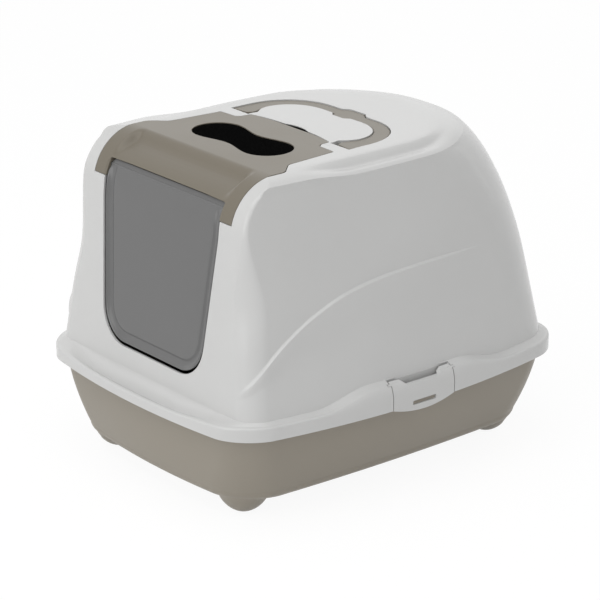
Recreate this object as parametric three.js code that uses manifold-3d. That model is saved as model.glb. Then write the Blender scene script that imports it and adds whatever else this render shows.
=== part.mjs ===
// Hooded cat litter box. Millimetres, +Z up, front towards -Y, origin under the middle of the footprint.
import * as THREE from 'three';
import Module from 'manifold-3d';

const wasm = await Module();
wasm.setup();

// ---------------------------------------------------------------- driving sizes
const RIM_HALF_WIDTH = 196;       // hood rim, the widest part of the box
const RIM_HALF_LENGTH = 235.2;
const RIM_SIDE_BOW = 25.4;        // how far the long sides curve in at their ends
const RIM_END_BOW = 15.2;         // the same for the short sides
const RIM_CORNER = 41.6;
const RIM_BOTTOM = 102.8;         // underside of the hood's skirt
const TOTAL_HEIGHT = 355.2;       // top of the plateau behind the lid
const WALL = 2.6;                 // hood and lid moulding thickness
const TRAY_WALL = 3;
const GAP = 0.6;                  // clearance between neighbouring mouldings
const SEAT_GAP = 0.3;             // clearance where one moulding rests on another

// tray
const TRAY_INSET = 14;            // tray wall inside the rim outline, at the rim
const TRAY_BOTTOM = 22;         // underside of the tray floor
const TRAY_BASE_HALF_WIDTH = 146;
const TRAY_BASE_HALF_LENGTH = 200;
const TRAY_BASE_CORNER = 45;
const TRAY_BASE_SIDE_BOW = 7;
const TRAY_BASE_END_BOW = 11.6;
const TRAY_TOP_CORNER = 32.3;
const TRAY_TOP_SIDE_BOW = 18;
const TRAY_TOP_END_BOW = 12.6;
const TRAY_BULGE = 3;             // the tray's walls swell by this much halfway up
const TRAY_EDGE_ROUND = 10;
const FLANGE_INSET = 4.5;         // outer edge of the tray's flange inside the rim outline
const FLANGE_THICK = 3;
const FLANGE_TOP = RIM_BOTTOM + 5.2;
const FOOT_X = 110;
const FOOT_Y = 168.5;
const FOOT_RADIUS = 27;
const FOOT_FLAT = 6;              // radius of the flat each foot stands on

// hood body
const LEDGE_SIDE = 11;            // rim ledge width at the sides
const LEDGE_FRONT = 28;           // and at the front
const LEDGE_BLEND = 136;          // the ledge's level changes from here to the corner
const BODY_TOP_HALF_WIDTH = 143.5;  // at the ridge
const RIDGE_DROP = 9.9;            // ridge below the plateau
const FRONT_LEAN = 0.1;           // front face leans back by this much per unit of height
const FRONT_ROUND = 55;           // radius from the front face over to the lid top
const LID_DROP = 0.2;             // lid top below the plateau
const REAR_ROUND_DEPTH = 73.4;      // half ellipse from the back wall over to the plateau
const REAR_ROUND_RISE = 155.5;    // height of that ellipse
const FRONT_CORNER_LOW = 23.6;      // front corner radius low down
const FRONT_CORNER_HIGH = 7;      // and at the ridge
const FRONT_CORNER_BLEND = 87;    // height over which it tightens
const REAR_CORNER_LOW = 46;
const REAR_CORNER_HIGH = 130;
const BODY_REAR = RIM_HALF_LENGTH - 9.7;
const CEILING_MIDDLE = 120;       // rings of the hood's ceiling lie this far inside the ridge
const CEILING_EDGE = 34;
const CEILING_TURN = 18;
const LEDGE_RISE_FRONT = 8.6;     // ledge root above the rim's underside
const LEDGE_RISE_SIDE = 18.6;
const EDGE_RISE_FRONT = 11.2;     // outer edge of the ledge above the rim's underside
const EDGE_RISE_SIDE = 15.7;

// latches
const LATCH_Y = 1.5;
const LATCH_HALF = 41.8;
const LATCH_SWELL = 12.5;         // how far the ledge swells up at the latch
const SWELL_FADE = 70;            // length over which the swelling dies away
const LATCH_EAR = 12;
const LATCH_NOTCH_HALF = 22;
const LATCH_DIP = 6.4;            // curved lower edge below the rim
const LATCH_WALL = 2.4;
const LATCH_TURN = 9.8;           // the latch's lower edge reaches this far under the rim
const LATCH_LUG = 5.8;            // width of each hinge lug
const LATCH_LUG_RADIUS = 3.4;
const LATCH_PIN_REACH = 3.4;      // pins reach this far past the latch's ends
const LATCH_NOTCH_DEPTH = 7;
const LATCH_BARB_NEAR = 18.5;
const LATCH_BARB_FAR = 35;
const LATCH_BARB_HALF = 1.6;
const LATCH_PIN_INSET = 7;
const LATCH_PIN_DROP = 5;         // pin below the top of the swollen ledge
const LATCH_PIN_RADIUS = 1.6;
const LATCH_SLOT_HALF = 15.5;
const LATCH_SLOT_HEIGHT = 2.4;
const PIN_GAP = 0.3;

// door opening and door
const DOOR_TOP_HALF = 98.5;
const DOOR_LOW_HALF = 87;
const DOOR_SILL_RISE = 38.4;      // sill above the rim's underside
const DOOR_TAPER_RISE = 34.8;     // taper starts this far above the sill
const DOOR_TAPER_DROP = 19.2;     // and ends this far below the lid's arms
const DOOR_CORNER = 31;
const DOOR_GAP = 2.4;
const DOOR_BOTTOM_GAP = 3.2;
const DOOR_THICK = 2.6;
const DOOR_DISH = 2.2;
const DOOR_BORDER = 9;
const DOOR_AXIS_DROP = 31.2;      // hinge line below the plateau
const DOOR_AXIS_BACK = 5.2;       // hinge line behind the door's front face
const DOOR_ROD_RADIUS = 2.6;
const DOOR_PIN_RADIUS = 1.9;

// lid
const LID_HALF_FRONT = 116.4;
const LID_HALF_REAR = 99.6;
const LID_HALF_BACK = 94;
const LID_STEP_REACH = 13;        // wide front part of the lid behind the start of the front curve
const LID_STEP = 18;              // length of the step from wide to narrow
const LID_REACH = 95.5;           // lid plate behind the start of the front curve
const TONGUE_HALF = 66;
const TONGUE_REACH = 18.5;        // tongue behind the lid plate
const PLATEAU_BLEND = 19;         // length behind the tongue over which the top rises to the plateau
const EAR_GAP = 2;                // hinge ears start this far inside the tongue's sides
const EAR_REACH = 16;             // and end this far outside them
const EAR_DEPTH = 6;              // depth of the ears below the hinge line
const ARM_DROP = 42;            // lower end of the lid's arms below the plateau
const ARM_INNER = 99.6;
const COVE_REACH = 4;             // cove starts this far in front of the start of the front curve
const COVE_LENGTH = 14;
const COVE_DEPTH = 9.6;
const LIP_DROP = 23.2;            // lip below the plateau
const CHEEK = 2.6;
const LID_AXIS_REACH = 10.6;      // hinge line behind the lid plate
const LID_AXIS_DROP = 2.5;        // and below the lid's top
const LID_PIN_RADIUS = 2.1;
const LID_PIN_REACH = 8.2;        // pins reach this far outside the tongue
const SLOT_REACH = 51.6;          // middle of the vent behind the start of the front curve
const SLOT_HALF = 67;
const SLOT_LOBE = 26;
const SLOT_WAIST = 18.6;
const PAD_MARGIN = 5.5;
const PAD_THICK = 8;
const HOLDER_WALL = 1.6;
const HOLDER_FLOOR = 1.8;

// carrying handle
const HANDLE_HALF = 97.5;
const HANDLE_LENGTH = 90;
const HANDLE_BAR = 20;
const HANDLE_REAR_BAR = 15.5;
const HANDLE_THICK = 6.5;
const HANDLE_PIN_RADIUS = 1.8;
const HANDLE_PIN_REACH = 3.2;
const GRIP_HALF = 13;
const GRIP_REACH = 7;
const TROUGH_GAP = 1.2;
const TROUGH_WALL = 2.2;

// ---------------------------------------------------------------- derived levels
const LID_TOP = TOTAL_HEIGHT - LID_DROP;
const RIDGE_Z = TOTAL_HEIGHT - RIDGE_DROP;
const ARC_Z = LID_TOP - FRONT_ROUND;
const FRONT_FOOT = -(RIM_HALF_LENGTH - LEDGE_FRONT) - FRONT_LEAN * (RIM_BOTTOM + LEDGE_RISE_FRONT);
const LEAN_NORM = Math.hypot(1, FRONT_LEAN);
const ARC_Y = FRONT_FOOT + FRONT_LEAN * ARC_Z + FRONT_ROUND * LEAN_NORM;
const ARC_TANGENT_Z = ARC_Z + FRONT_ROUND * FRONT_LEAN / LEAN_NORM;
const BODY_HALF_WIDTH = RIM_HALF_WIDTH - LEDGE_SIDE;
const BODY_SIDE_Z = RIM_BOTTOM + LEDGE_RISE_SIDE;
const REAR_ROUND_START = TOTAL_HEIGHT - REAR_ROUND_RISE;
const LATCH_TOP = RIM_BOTTOM + LEDGE_RISE_SIDE + LATCH_SWELL;
const ARM_BOTTOM = TOTAL_HEIGHT - ARM_DROP;
const LIP_Z = TOTAL_HEIGHT - LIP_DROP;
const LIP_Y = ARC_Y - Math.sqrt(FRONT_ROUND ** 2 - (LIP_Z - ARC_Z) ** 2);
const COVE_START = ARC_Y - COVE_REACH;
const COVE_BOTTOM_Y = COVE_START - COVE_LENGTH;
const LID_STEP_FRONT = ARC_Y + LID_STEP_REACH;
const LID_STEP_REAR = LID_STEP_FRONT + LID_STEP;
const LID_BACK = ARC_Y + LID_REACH;
const TONGUE_BACK = LID_BACK + TONGUE_REACH;
const LID_AXIS_Y = LID_BACK + LID_AXIS_REACH;
const LID_PIN_END = TONGUE_HALF + LID_PIN_REACH;
const LID_AXIS_Z = LID_TOP - LID_AXIS_DROP;
const SLOT_Y = ARC_Y + SLOT_REACH;
const HANDLE_FRONT = TONGUE_BACK - GAP;
const HANDLE_REAR = HANDLE_FRONT + HANDLE_LENGTH;
const DOOR_SILL = RIM_BOTTOM + DOOR_SILL_RISE;
const DOOR_TAPER_LOW = DOOR_SILL + DOOR_TAPER_RISE;
const DOOR_TAPER_TOP = ARM_BOTTOM - DOOR_TAPER_DROP;
const DOOR_AXIS_Z = TOTAL_HEIGHT - DOOR_AXIS_DROP;

// ---------------------------------------------------------------- small helpers
const clamp01 = (t) => Math.min(1, Math.max(0, t));
const mix = (a, b, t) => a + (b - a) * t;
function smooth(a, b, x) {
  const t = clamp01((x - a) / (b - a));
  return t * t * (3 - 2 * t);
}

function geometryToManifold(geometry) {
  const source = geometry.index ? geometry.toNonIndexed() : geometry;
  const positions = source.attributes.position;
  const seen = new Map();
  const vertices = [];
  const triangles = [];
  const lookup = [];
  for (let i = 0; i < positions.count; i += 1) {
    const p = [positions.getX(i), positions.getY(i), positions.getZ(i)];
    const key = p.map((v) => Math.round(v * 2e4)).join(',');
    if (!seen.has(key)) {
      seen.set(key, vertices.length / 3);
      vertices.push(...p);
    }
    lookup.push(seen.get(key));
  }
  for (let i = 0; i < lookup.length; i += 3) {
    const [a, b, c] = [lookup[i], lookup[i + 1], lookup[i + 2]];
    if (a !== b && b !== c && a !== c) triangles.push(a, b, c);
  }
  return new wasm.Manifold(new wasm.Mesh({
    numProp: 3,
    vertProperties: new Float32Array(vertices),
    triVerts: new Uint32Array(triangles),
  }));
}

// Closed body through a stack of equally long rings. The first ring faces down, the last one up.
function loft(rings, firstCentre = null, lastCentre = null) {
  const n = rings[0].length;
  const points = [];
  const faces = [];
  rings.forEach((ring) => ring.forEach((p) => points.push(p)));
  const middle = (ring) => {
    const m = new THREE.Vector3();
    ring.forEach((p) => m.add(p));
    return m.divideScalar(ring.length);
  };
  const first = points.push(firstCentre ?? middle(rings[0])) - 1;
  const last = points.push(lastCentre ?? middle(rings[rings.length - 1])) - 1;
  for (let k = 0; k < n; k += 1) {
    const next = (k + 1) % n;
    faces.push(first, next, k);
    const top = (rings.length - 1) * n;
    faces.push(last, top + k, top + next);
    for (let i = 0; i < rings.length - 1; i += 1) {
      const a = i * n + k;
      const b = i * n + next;
      const c = (i + 1) * n + next;
      const d = (i + 1) * n + k;
      faces.push(a, b, c, a, c, d);
    }
  }
  const geometry = new THREE.BufferGeometry();
  const flat = new Float32Array(points.length * 3);
  points.forEach((p, i) => p.toArray(flat, i * 3));
  geometry.setAttribute('position', new THREE.BufferAttribute(flat, 3));
  geometry.setIndex(faces);
  return geometryToManifold(geometry);
}

// Prism of a closed XY outline between two heights.
function prismXY(points, z0, z1) {
  const shape = new THREE.Shape(points.map((p) => new THREE.Vector2(p[0], p[1])));
  const geometry = new THREE.ExtrudeGeometry(shape, { depth: z1 - z0, bevelEnabled: false });
  geometry.translate(0, 0, z0);
  return geometryToManifold(geometry);
}

// Prism of a closed YZ outline between two X positions.
function prismYZ(points, x0, x1) {
  const shape = new THREE.Shape(points.map((p) => new THREE.Vector2(p[0], p[1])));
  const geometry = new THREE.ExtrudeGeometry(shape, { depth: x1 - x0, bevelEnabled: false });
  const turn = new THREE.Matrix4().set(0, 0, 1, x0, 1, 0, 0, 0, 0, 1, 0, 0, 0, 0, 0, 1);
  geometry.applyMatrix4(turn);
  return geometryToManifold(geometry);
}

function block(x0, x1, y0, y1, z0, z1) {
  const geometry = new THREE.BoxGeometry(x1 - x0, y1 - y0, z1 - z0);
  geometry.translate((x0 + x1) / 2, (y0 + y1) / 2, (z0 + z1) / 2);
  return geometryToManifold(geometry);
}

function rodX(x0, x1, y, z, radius, sides = 16) {
  const geometry = new THREE.CylinderGeometry(radius, radius, x1 - x0, sides);
  geometry.rotateZ(-Math.PI / 2);
  geometry.translate((x0 + x1) / 2, y, z);
  return geometryToManifold(geometry);
}

function rodY(y0, y1, x, z, radius, sides = 16) {
  const geometry = new THREE.CylinderGeometry(radius, radius, y1 - y0, sides);
  geometry.translate(x, (y0 + y1) / 2, z);
  return geometryToManifold(geometry);
}

const mirrorX = (body) => body.mirror([1, 0, 0]);
const both = (body) => body.add(mirrorX(body));

// ---------------------------------------------------------------- plan outlines
const FRONT_STEPS = 3;
const CORNER_STEPS = 6;
const SIDE_STEPS = 12;

// Bowed rounded rectangle, counterclockwise from the middle of the front.
// The same vertex number always lies at the same place round the outline.
function outline(o) {
  const half = [];
  const { width, front, rear, frontCorner, rearCorner } = o;
  for (let i = 0; i < FRONT_STEPS; i += 1) {
    half.push([(width - frontCorner) * i / FRONT_STEPS, front]);
  }
  for (let i = 0; i <= CORNER_STEPS; i += 1) {
    const t = -Math.PI / 2 + (Math.PI / 2) * i / CORNER_STEPS;
    half.push([width - frontCorner + frontCorner * Math.cos(t), front + frontCorner + frontCorner * Math.sin(t)]);
  }
  for (let i = 1; i < SIDE_STEPS; i += 1) {
    half.push([width, mix(front + frontCorner, rear - rearCorner, i / SIDE_STEPS)]);
  }
  for (let i = 0; i <= CORNER_STEPS; i += 1) {
    const t = (Math.PI / 2) * i / CORNER_STEPS;
    half.push([width - rearCorner + rearCorner * Math.cos(t), rear - rearCorner + rearCorner * Math.sin(t)]);
  }
  for (let i = 1; i <= FRONT_STEPS; i += 1) {
    half.push([(width - rearCorner) * (1 - i / FRONT_STEPS), rear]);
  }
  const bent = half.map(([x, y]) => {
    const w = x / width;
    const sideSpan = y < 0 ? o.frontSpan : rear;
    const sideBow = (y < 0 ? o.sideBowFront : o.sideBowRear) * (y / sideSpan) ** 2 * w;
    const endBow = y < 0 ? -o.endBowFront * w * w * (y / front) : o.endBowRear * w * w * (y / rear);
    return [x - sideBow, y - endBow];
  });
  const mirrored = bent.slice(1, -1).reverse().map(([x, y]) => [-x, y]);
  return bent.concat(mirrored);
}

function rimOutline(inset) {
  return outline({
    width: RIM_HALF_WIDTH - inset,
    front: -(RIM_HALF_LENGTH - inset),
    rear: RIM_HALF_LENGTH - inset,
    frontCorner: RIM_CORNER - inset * 0.6,
    rearCorner: RIM_CORNER - inset * 0.6,
    frontSpan: RIM_HALF_LENGTH - inset,
    sideBowFront: RIM_SIDE_BOW,
    sideBowRear: RIM_SIDE_BOW,
    endBowFront: RIM_END_BOW,
    endBowRear: RIM_END_BOW,
  });
}

function trayTopOutline(inset) {
  const cut = TRAY_INSET + inset;
  return outline({
    width: RIM_HALF_WIDTH - cut,
    front: -(RIM_HALF_LENGTH - cut),
    rear: RIM_HALF_LENGTH - cut,
    frontCorner: TRAY_TOP_CORNER - inset * 0.6,
    rearCorner: TRAY_TOP_CORNER - inset * 0.6,
    frontSpan: RIM_HALF_LENGTH - cut,
    sideBowFront: TRAY_TOP_SIDE_BOW,
    sideBowRear: TRAY_TOP_SIDE_BOW,
    endBowFront: TRAY_TOP_END_BOW,
    endBowRear: TRAY_TOP_END_BOW,
  });
}

function trayBaseOutline(grow) {
  return outline({
    width: TRAY_BASE_HALF_WIDTH + grow,
    front: -(TRAY_BASE_HALF_LENGTH + grow),
    rear: TRAY_BASE_HALF_LENGTH + grow,
    frontCorner: TRAY_BASE_CORNER + grow * 0.5,
    rearCorner: TRAY_BASE_CORNER + grow * 0.5,
    frontSpan: TRAY_BASE_HALF_LENGTH + grow,
    sideBowFront: TRAY_BASE_SIDE_BOW,
    sideBowRear: TRAY_BASE_SIDE_BOW,
    endBowFront: TRAY_BASE_END_BOW,
    endBowRear: TRAY_BASE_END_BOW,
  });
}

// Front, back and side position of the hood wall at a height, `inset` inside the outer face.
function bodyFront(z, inset = 0) {
  if (z < ARC_TANGENT_Z) return FRONT_FOOT + FRONT_LEAN * z + inset * LEAN_NORM;
  return ARC_Y - Math.sqrt(Math.max((FRONT_ROUND - inset) ** 2 - (z - ARC_Z) ** 2, 0));
}

function bodyRear(z, inset = 0) {
  const depth = REAR_ROUND_DEPTH - inset;
  const rise = TOTAL_HEIGHT - REAR_ROUND_START - inset;
  if (z < REAR_ROUND_START) return BODY_REAR - inset;
  return BODY_REAR - REAR_ROUND_DEPTH + depth * Math.sqrt(Math.max(1 - ((z - REAR_ROUND_START) / rise) ** 2, 0));
}

function bodyOutline(z, inset = 0, shrink = 0) {
  const rise = clamp01((z - BODY_SIDE_Z) / (RIDGE_Z - BODY_SIDE_Z));
  const width = mix(BODY_HALF_WIDTH, BODY_TOP_HALF_WIDTH, (z - BODY_SIDE_Z) / (RIDGE_Z - BODY_SIDE_Z));
  const cut = inset + shrink;
  const tighten = smooth(RIDGE_Z - RIDGE_DROP - FRONT_CORNER_BLEND, RIDGE_Z - RIDGE_DROP, z);
  return outline({
    width: width - cut,
    front: bodyFront(z, inset) + shrink,
    rear: bodyRear(z, inset) - shrink,
    frontCorner: Math.max(mix(FRONT_CORNER_LOW, FRONT_CORNER_HIGH, tighten) - cut, FRONT_CORNER_HIGH / 3),
    rearCorner: Math.max(mix(REAR_CORNER_LOW, REAR_CORNER_HIGH, rise) - cut, REAR_CORNER_LOW / 4),
    frontSpan: BODY_REAR - inset,
    sideBowFront: mix(22.5, 14.5, rise),
    sideBowRear: mix(26, 16.5, rise),
    endBowFront: 0,
    endBowRear: mix(6.5, 6.2, rise),
  });
}

const atHeight = (points, z) => points.map(([x, y]) => new THREE.Vector3(x, y, z));

// ---------------------------------------------------------------- hood rim levels
const RIM = rimOutline(0);
const sideWeight = RIM.map(([x, y]) => {
  const out = smooth(RIM_HALF_WIDTH - LEDGE_BLEND, RIM_HALF_WIDTH - LEDGE_FRONT, Math.abs(x));
  return y < 0 ? out : mix(0.75, 1, out);
});
const swell = RIM.map(([x, y]) => {
  const away = Math.abs(y - LATCH_Y);
  return Math.abs(x) > RIM_HALF_WIDTH / 2 ? 1 - smooth(LATCH_HALF + 20, LATCH_HALF + 20 + SWELL_FADE, away) : 0;
});
const ledgeRoot = RIM.map((p, k) => {
  const rise = mix(LEDGE_RISE_FRONT, LEDGE_RISE_SIDE, sideWeight[k]);
  return RIM_BOTTOM + rise + LATCH_SWELL * swell[k];
});
const ledgeEdge = RIM.map((p, k) => {
  const rise = mix(EDGE_RISE_FRONT, EDGE_RISE_SIDE, sideWeight[k]);
  return RIM_BOTTOM + rise + (LATCH_SWELL - 1) * swell[k];
});
const edgeRound = swell.map((s) => 2.5 + 6.5 * s);

// One vertex of the hood wall at its own height.
function wallRing(heights, inset) {
  return heights.map((z, k) => {
    const [x, y] = bodyOutline(z, inset)[k];
    return new THREE.Vector3(x, y, z);
  });
}

function rimRing(inset, heights) {
  const plan = rimOutline(inset);
  return plan.map(([x, y], k) => new THREE.Vector3(x, y, heights[k]));
}

// Rings of the ledge, from its outer face to the hood wall, `t` below the outer surface.
function ledgeRings(t) {
  return [
    rimRing(t, ledgeEdge.map((z, k) => z - edgeRound[k] - t * 0.4)),
    rimRing(t + 0.8, ledgeEdge.map((z, k) => z - edgeRound[k] * 0.3 - t * 0.7)),
    rimRing(t + 3.2, ledgeEdge.map((z) => z - t)),
    wallRing(ledgeRoot.map((z) => z - t), t),
  ];
}

// ---------------------------------------------------------------- hood top
// Height of the top surface for a vertex of a ring that lies `d` inside the ridge.
function capHeight(x, y, d) {
  const plateau = mix(LID_TOP, TOTAL_HEIGHT, smooth(TONGUE_BACK, TONGUE_BACK + PLATEAU_BLEND, y));
  const band = [[0, 4.4], [8, 2.3], [17, 0.9], [25, 0.3], [33, 0]];
  const groove = [[0, RIDGE_DROP], [8, RIDGE_DROP - 2.1], [17, RIDGE_DROP - 2.9], [25, 0.7], [33, 0]];
  const rear = [[0, RIDGE_DROP], [8, 5.6], [17, 3], [25, 1.3], [33, 0.4]];
  const read = (table) => {
    if (d >= 33) return 0;
    const i = table.findIndex((row, k) => k > 0 && d <= row[0]);
    const [a, b] = [table[i - 1], table[i]];
    return mix(a[1], b[1], (d - a[0]) / (b[0] - a[0]));
  };
  const side = mix(read(band), read(groove), smooth(LID_STEP_REAR - 10, LID_BACK - 2.4, y));
  const drop = mix(side, read(rear), smooth(HANDLE_REAR - 8, HANDLE_REAR + 48, y));
  const arc = y < ARC_Y ? ARC_Z + Math.sqrt(Math.max(FRONT_ROUND ** 2 - (y - ARC_Y) ** 2, 0)) : TOTAL_HEIGHT;
  return Math.min(plateau - drop, arc);
}

function capRing(d) {
  return bodyOutline(RIDGE_Z, 0, d).map(([x, y]) => new THREE.Vector3(x, y, capHeight(x, y, d)));
}

const CAP_CENTRE_Y = TONGUE_BACK + 26;
const CAP_INSETS = [0, 8, 17, 25, 33, 60, 92, 122];
const WALL_SHARES = [0.05, 0.19, 0.33, 0.46, 0.585, 0.69, 0.766, 0.818, 0.865, 0.908, 0.946, 0.979];
const WALL_LEVELS = WALL_SHARES.map((share) => mix(LATCH_TOP, RIDGE_Z, share));
const capCentre = new THREE.Vector3(0, CAP_CENTRE_Y, TOTAL_HEIGHT - 0.5);
const capRings = CAP_INSETS.map((d) => capRing(d));
const wallRings = WALL_LEVELS.map((z) => atHeight(bodyOutline(z), z));

// Full volume under the hood's outer surface, from the ledge up.
const bodyVolume = loft(
  [wallRing(ledgeRoot, 0), ...wallRings, ...capRings],
  null,
  capCentre,
);

const innerCap = [
  atHeight(bodyOutline(RIDGE_Z, WALL, CEILING_MIDDLE), LID_TOP - WALL),
  atHeight(bodyOutline(RIDGE_Z, WALL, CEILING_EDGE), LID_TOP - WALL - 0.6),
  atHeight(bodyOutline(RIDGE_Z, WALL, CEILING_TURN), RIDGE_Z - 1.4),
  atHeight(bodyOutline(RIDGE_Z - WALL - 1, WALL), RIDGE_Z - WALL - 1),
];
const innerWalls = WALL_LEVELS.filter((z, i) => i % 2 === 1).reverse().map((z) => atHeight(bodyOutline(z, WALL), z));

const hoodShell = loft(
  [
    ...innerCap,
    ...innerWalls,
    ...ledgeRings(WALL).reverse(),
    rimRing(WALL, RIM.map(() => RIM_BOTTOM)),
    rimRing(0, RIM.map(() => RIM_BOTTOM)),
    ...ledgeRings(0),
    ...wallRings,
    ...capRings,
  ],
  new THREE.Vector3(0, CAP_CENTRE_Y, LID_TOP - WALL),
  capCentre,
);

// Volume of the rim alone, carried down below the skirt for the latches.
function rimVolume(t) {
  return loft([
    rimRing(t, RIM.map(() => RIM_BOTTOM - 3 * LATCH_DIP)),
    ...ledgeRings(t),
  ]);
}

// ---------------------------------------------------------------- lid outline in plan
function lidPlan(grow) {
  const g = grow;
  const right = [
    [LID_HALF_FRONT + g, -RIM_HALF_LENGTH],
    [LID_HALF_FRONT + g, LID_STEP_FRONT + g],
    [LID_HALF_FRONT - 4.5 + g, mix(LID_STEP_FRONT, LID_STEP_REAR, 0.36) + g],
    [LID_HALF_REAR + 4.5 + g, mix(LID_STEP_FRONT, LID_STEP_REAR, 0.64) + g],
    [LID_HALF_REAR + g, LID_STEP_REAR + g],
    [LID_HALF_BACK + g, LID_BACK + g],
    [TONGUE_HALF + 5 + g, LID_BACK + 1.5 + g],
    [TONGUE_HALF + g, LID_BACK + 6.5 + g],
    [TONGUE_HALF + g, TONGUE_BACK + g],
  ];
  const left = right.slice().reverse().map(([x, y]) => [-x, y]);
  return right.concat(left);
}

const upFrom = (z) => block(-RIM_HALF_WIDTH, RIM_HALF_WIDTH, -RIM_HALF_LENGTH, RIM_HALF_LENGTH, z, TOTAL_HEIGHT + 20);
const lidPrism = (grow) => prismXY(lidPlan(grow), RIM_BOTTOM, TOTAL_HEIGHT + 20);
const sunk = (t) => bodyVolume.translate([0, t, -t]);

// ---------------------------------------------------------------- door opening
function doorHalf(z) {
  return mix(DOOR_LOW_HALF, DOOR_TOP_HALF, clamp01((z - DOOR_TAPER_LOW) / (DOOR_TAPER_TOP - DOOR_TAPER_LOW)));
}

// Outline of the opening in XZ, `cut` inside it, up to a level top edge.
function doorPlan(side, bottom, top) {
  const sill = DOOR_SILL + bottom;
  const radius = DOOR_CORNER - side;
  const right = [];
  for (let i = 0; i <= 6; i += 1) {
    const t = -Math.PI / 2 + (Math.PI / 2) * i / 6;
    const z = sill + radius + radius * Math.sin(t);
    right.push([doorHalf(z) - side - radius + radius * Math.cos(t), z]);
  }
  right.push([doorHalf(DOOR_TAPER_TOP) - side, DOOR_TAPER_TOP]);
  right.push([doorHalf(DOOR_TAPER_TOP) - side, top]);
  const left = right.slice().reverse().map(([x, z]) => [-x, z]);
  return right.concat(left);
}

// Slab parallel to the front face: an XZ outline between two depths behind that face.
function frontSlab(points, depth0, depth1) {
  const shape = new THREE.Shape(points.map((p) => new THREE.Vector2(p[0], p[1])));
  const geometry = new THREE.ExtrudeGeometry(shape, { depth: depth1 - depth0, bevelEnabled: false });
  const p = geometry.attributes.position;
  for (let i = 0; i < p.count; i += 1) {
    const x = p.getX(i);
    const z = p.getY(i);
    const back = p.getZ(i) + depth0;
    p.setXYZ(i, -x, FRONT_FOOT + FRONT_LEAN * z + back * LEAN_NORM, z);
  }
  return geometryToManifold(geometry);
}

// ---------------------------------------------------------------- handle plan
// Quarter of a full, squarish curve from the side towards the rear.
function fullQuarter(half, rear, reachX, reachY, steps) {
  const points = [];
  for (let i = 0; i <= steps; i += 1) {
    const t = (Math.PI / 2) * i / steps;
    const c = Math.cos(t) ** 0.87;
    const s = Math.sin(t) ** 0.87;
    points.push([half - reachX + reachX * (i === steps ? 0 : c), rear - reachY + reachY * s]);
  }
  return points;
}

// U-shaped bar, open towards the front, with flared ends and a grip in the middle of the rear.
function handleSolid(grow, z0, z1) {
  const g = grow;
  const outer = [
    [HANDLE_HALF + g, HANDLE_FRONT - g],
    ...fullQuarter(HANDLE_HALF + g, HANDLE_REAR + g, 62 + g, 64 + g, 7),
    [GRIP_HALF + 4 + g, HANDLE_REAR + 0.6 + g],
    [GRIP_HALF - 3 + g, HANDLE_REAR + GRIP_REACH - 1.5 + g],
    [GRIP_HALF - 7, HANDLE_REAR + GRIP_REACH + g],
  ];
  const innerHalf = HANDLE_HALF - HANDLE_BAR - g;
  const innerRear = HANDLE_REAR - HANDLE_REAR_BAR - g;
  const inner = [
    [GRIP_HALF - 7, innerRear - GRIP_REACH],
    [GRIP_HALF - 3 + g, innerRear - GRIP_REACH + 1.5],
    [GRIP_HALF + 4 + g, innerRear - 0.6],
    ...fullQuarter(innerHalf, innerRear, 48 - g, 42 - g, 6).reverse(),
    [innerHalf - 2.5, HANDLE_FRONT + 21],
    [HANDLE_HALF - 29 - g, HANDLE_FRONT + 11],
    [HANDLE_HALF - 28 - g, HANDLE_FRONT + 1.5 - g],
  ];
  const mirrored = (points) => points.slice().reverse().map(([x, y]) => [-x, y]);
  return prismXY([...outer, ...mirrored(outer), ...mirrored(inner), ...inner], z0, z1);
}

// Room in front of the hinge line for the bar's end when the handle stands up.
function handleEnd(grow, z0, z1) {
  const end = block(
    HANDLE_HALF - 28 - grow,
    HANDLE_HALF + grow,
    HANDLE_FRONT - grow,
    HANDLE_FRONT + HANDLE_THICK,
    z0,
    z1,
  );
  return both(end);
}

const HANDLE_TOP = TOTAL_HEIGHT - 1.3;
const HANDLE_BOTTOM = HANDLE_TOP - HANDLE_THICK;
const HANDLE_AXIS_Y = HANDLE_FRONT + HANDLE_THICK / 2;
const HANDLE_AXIS_Z = (HANDLE_TOP + HANDLE_BOTTOM) / 2;
const HANDLE_PIN_END = HANDLE_HALF + HANDLE_PIN_REACH;
const TROUGH_FLOOR = HANDLE_BOTTOM - TROUGH_GAP;

// ---------------------------------------------------------------- tray
// Ring between two others, pushed outwards by the swell of the tray's wall.
function swollen(low, high, share) {
  const push = TRAY_BULGE * 4 * share * (1 - share);
  return low.map((p, k) => {
    const q = p.clone().lerp(high[k], share);
    const far = Math.hypot(q.x, q.y);
    return new THREE.Vector3(q.x * (1 + push / far), q.y * (1 + push / far), q.z);
  });
}

// Rounded foot, flat underneath, `shrink` inside its outer surface.
function footDome(shrink, top) {
  const points = [new THREE.Vector2(0, shrink), new THREE.Vector2(FOOT_FLAT, shrink)];
  [0.42, 0.6, 0.75, 0.87, 0.95, 1].forEach((share) => {
    const rise = TRAY_BOTTOM * (1 - (1 - share ** 2) ** 0.75);
    points.push(new THREE.Vector2(FOOT_RADIUS * share - shrink, rise + shrink));
  });
  points.push(new THREE.Vector2(FOOT_RADIUS - shrink, top));
  points.push(new THREE.Vector2(0, top));
  const geometry = new THREE.LatheGeometry(points, 20);
  geometry.rotateX(Math.PI / 2);
  return geometryToManifold(geometry);
}

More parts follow.
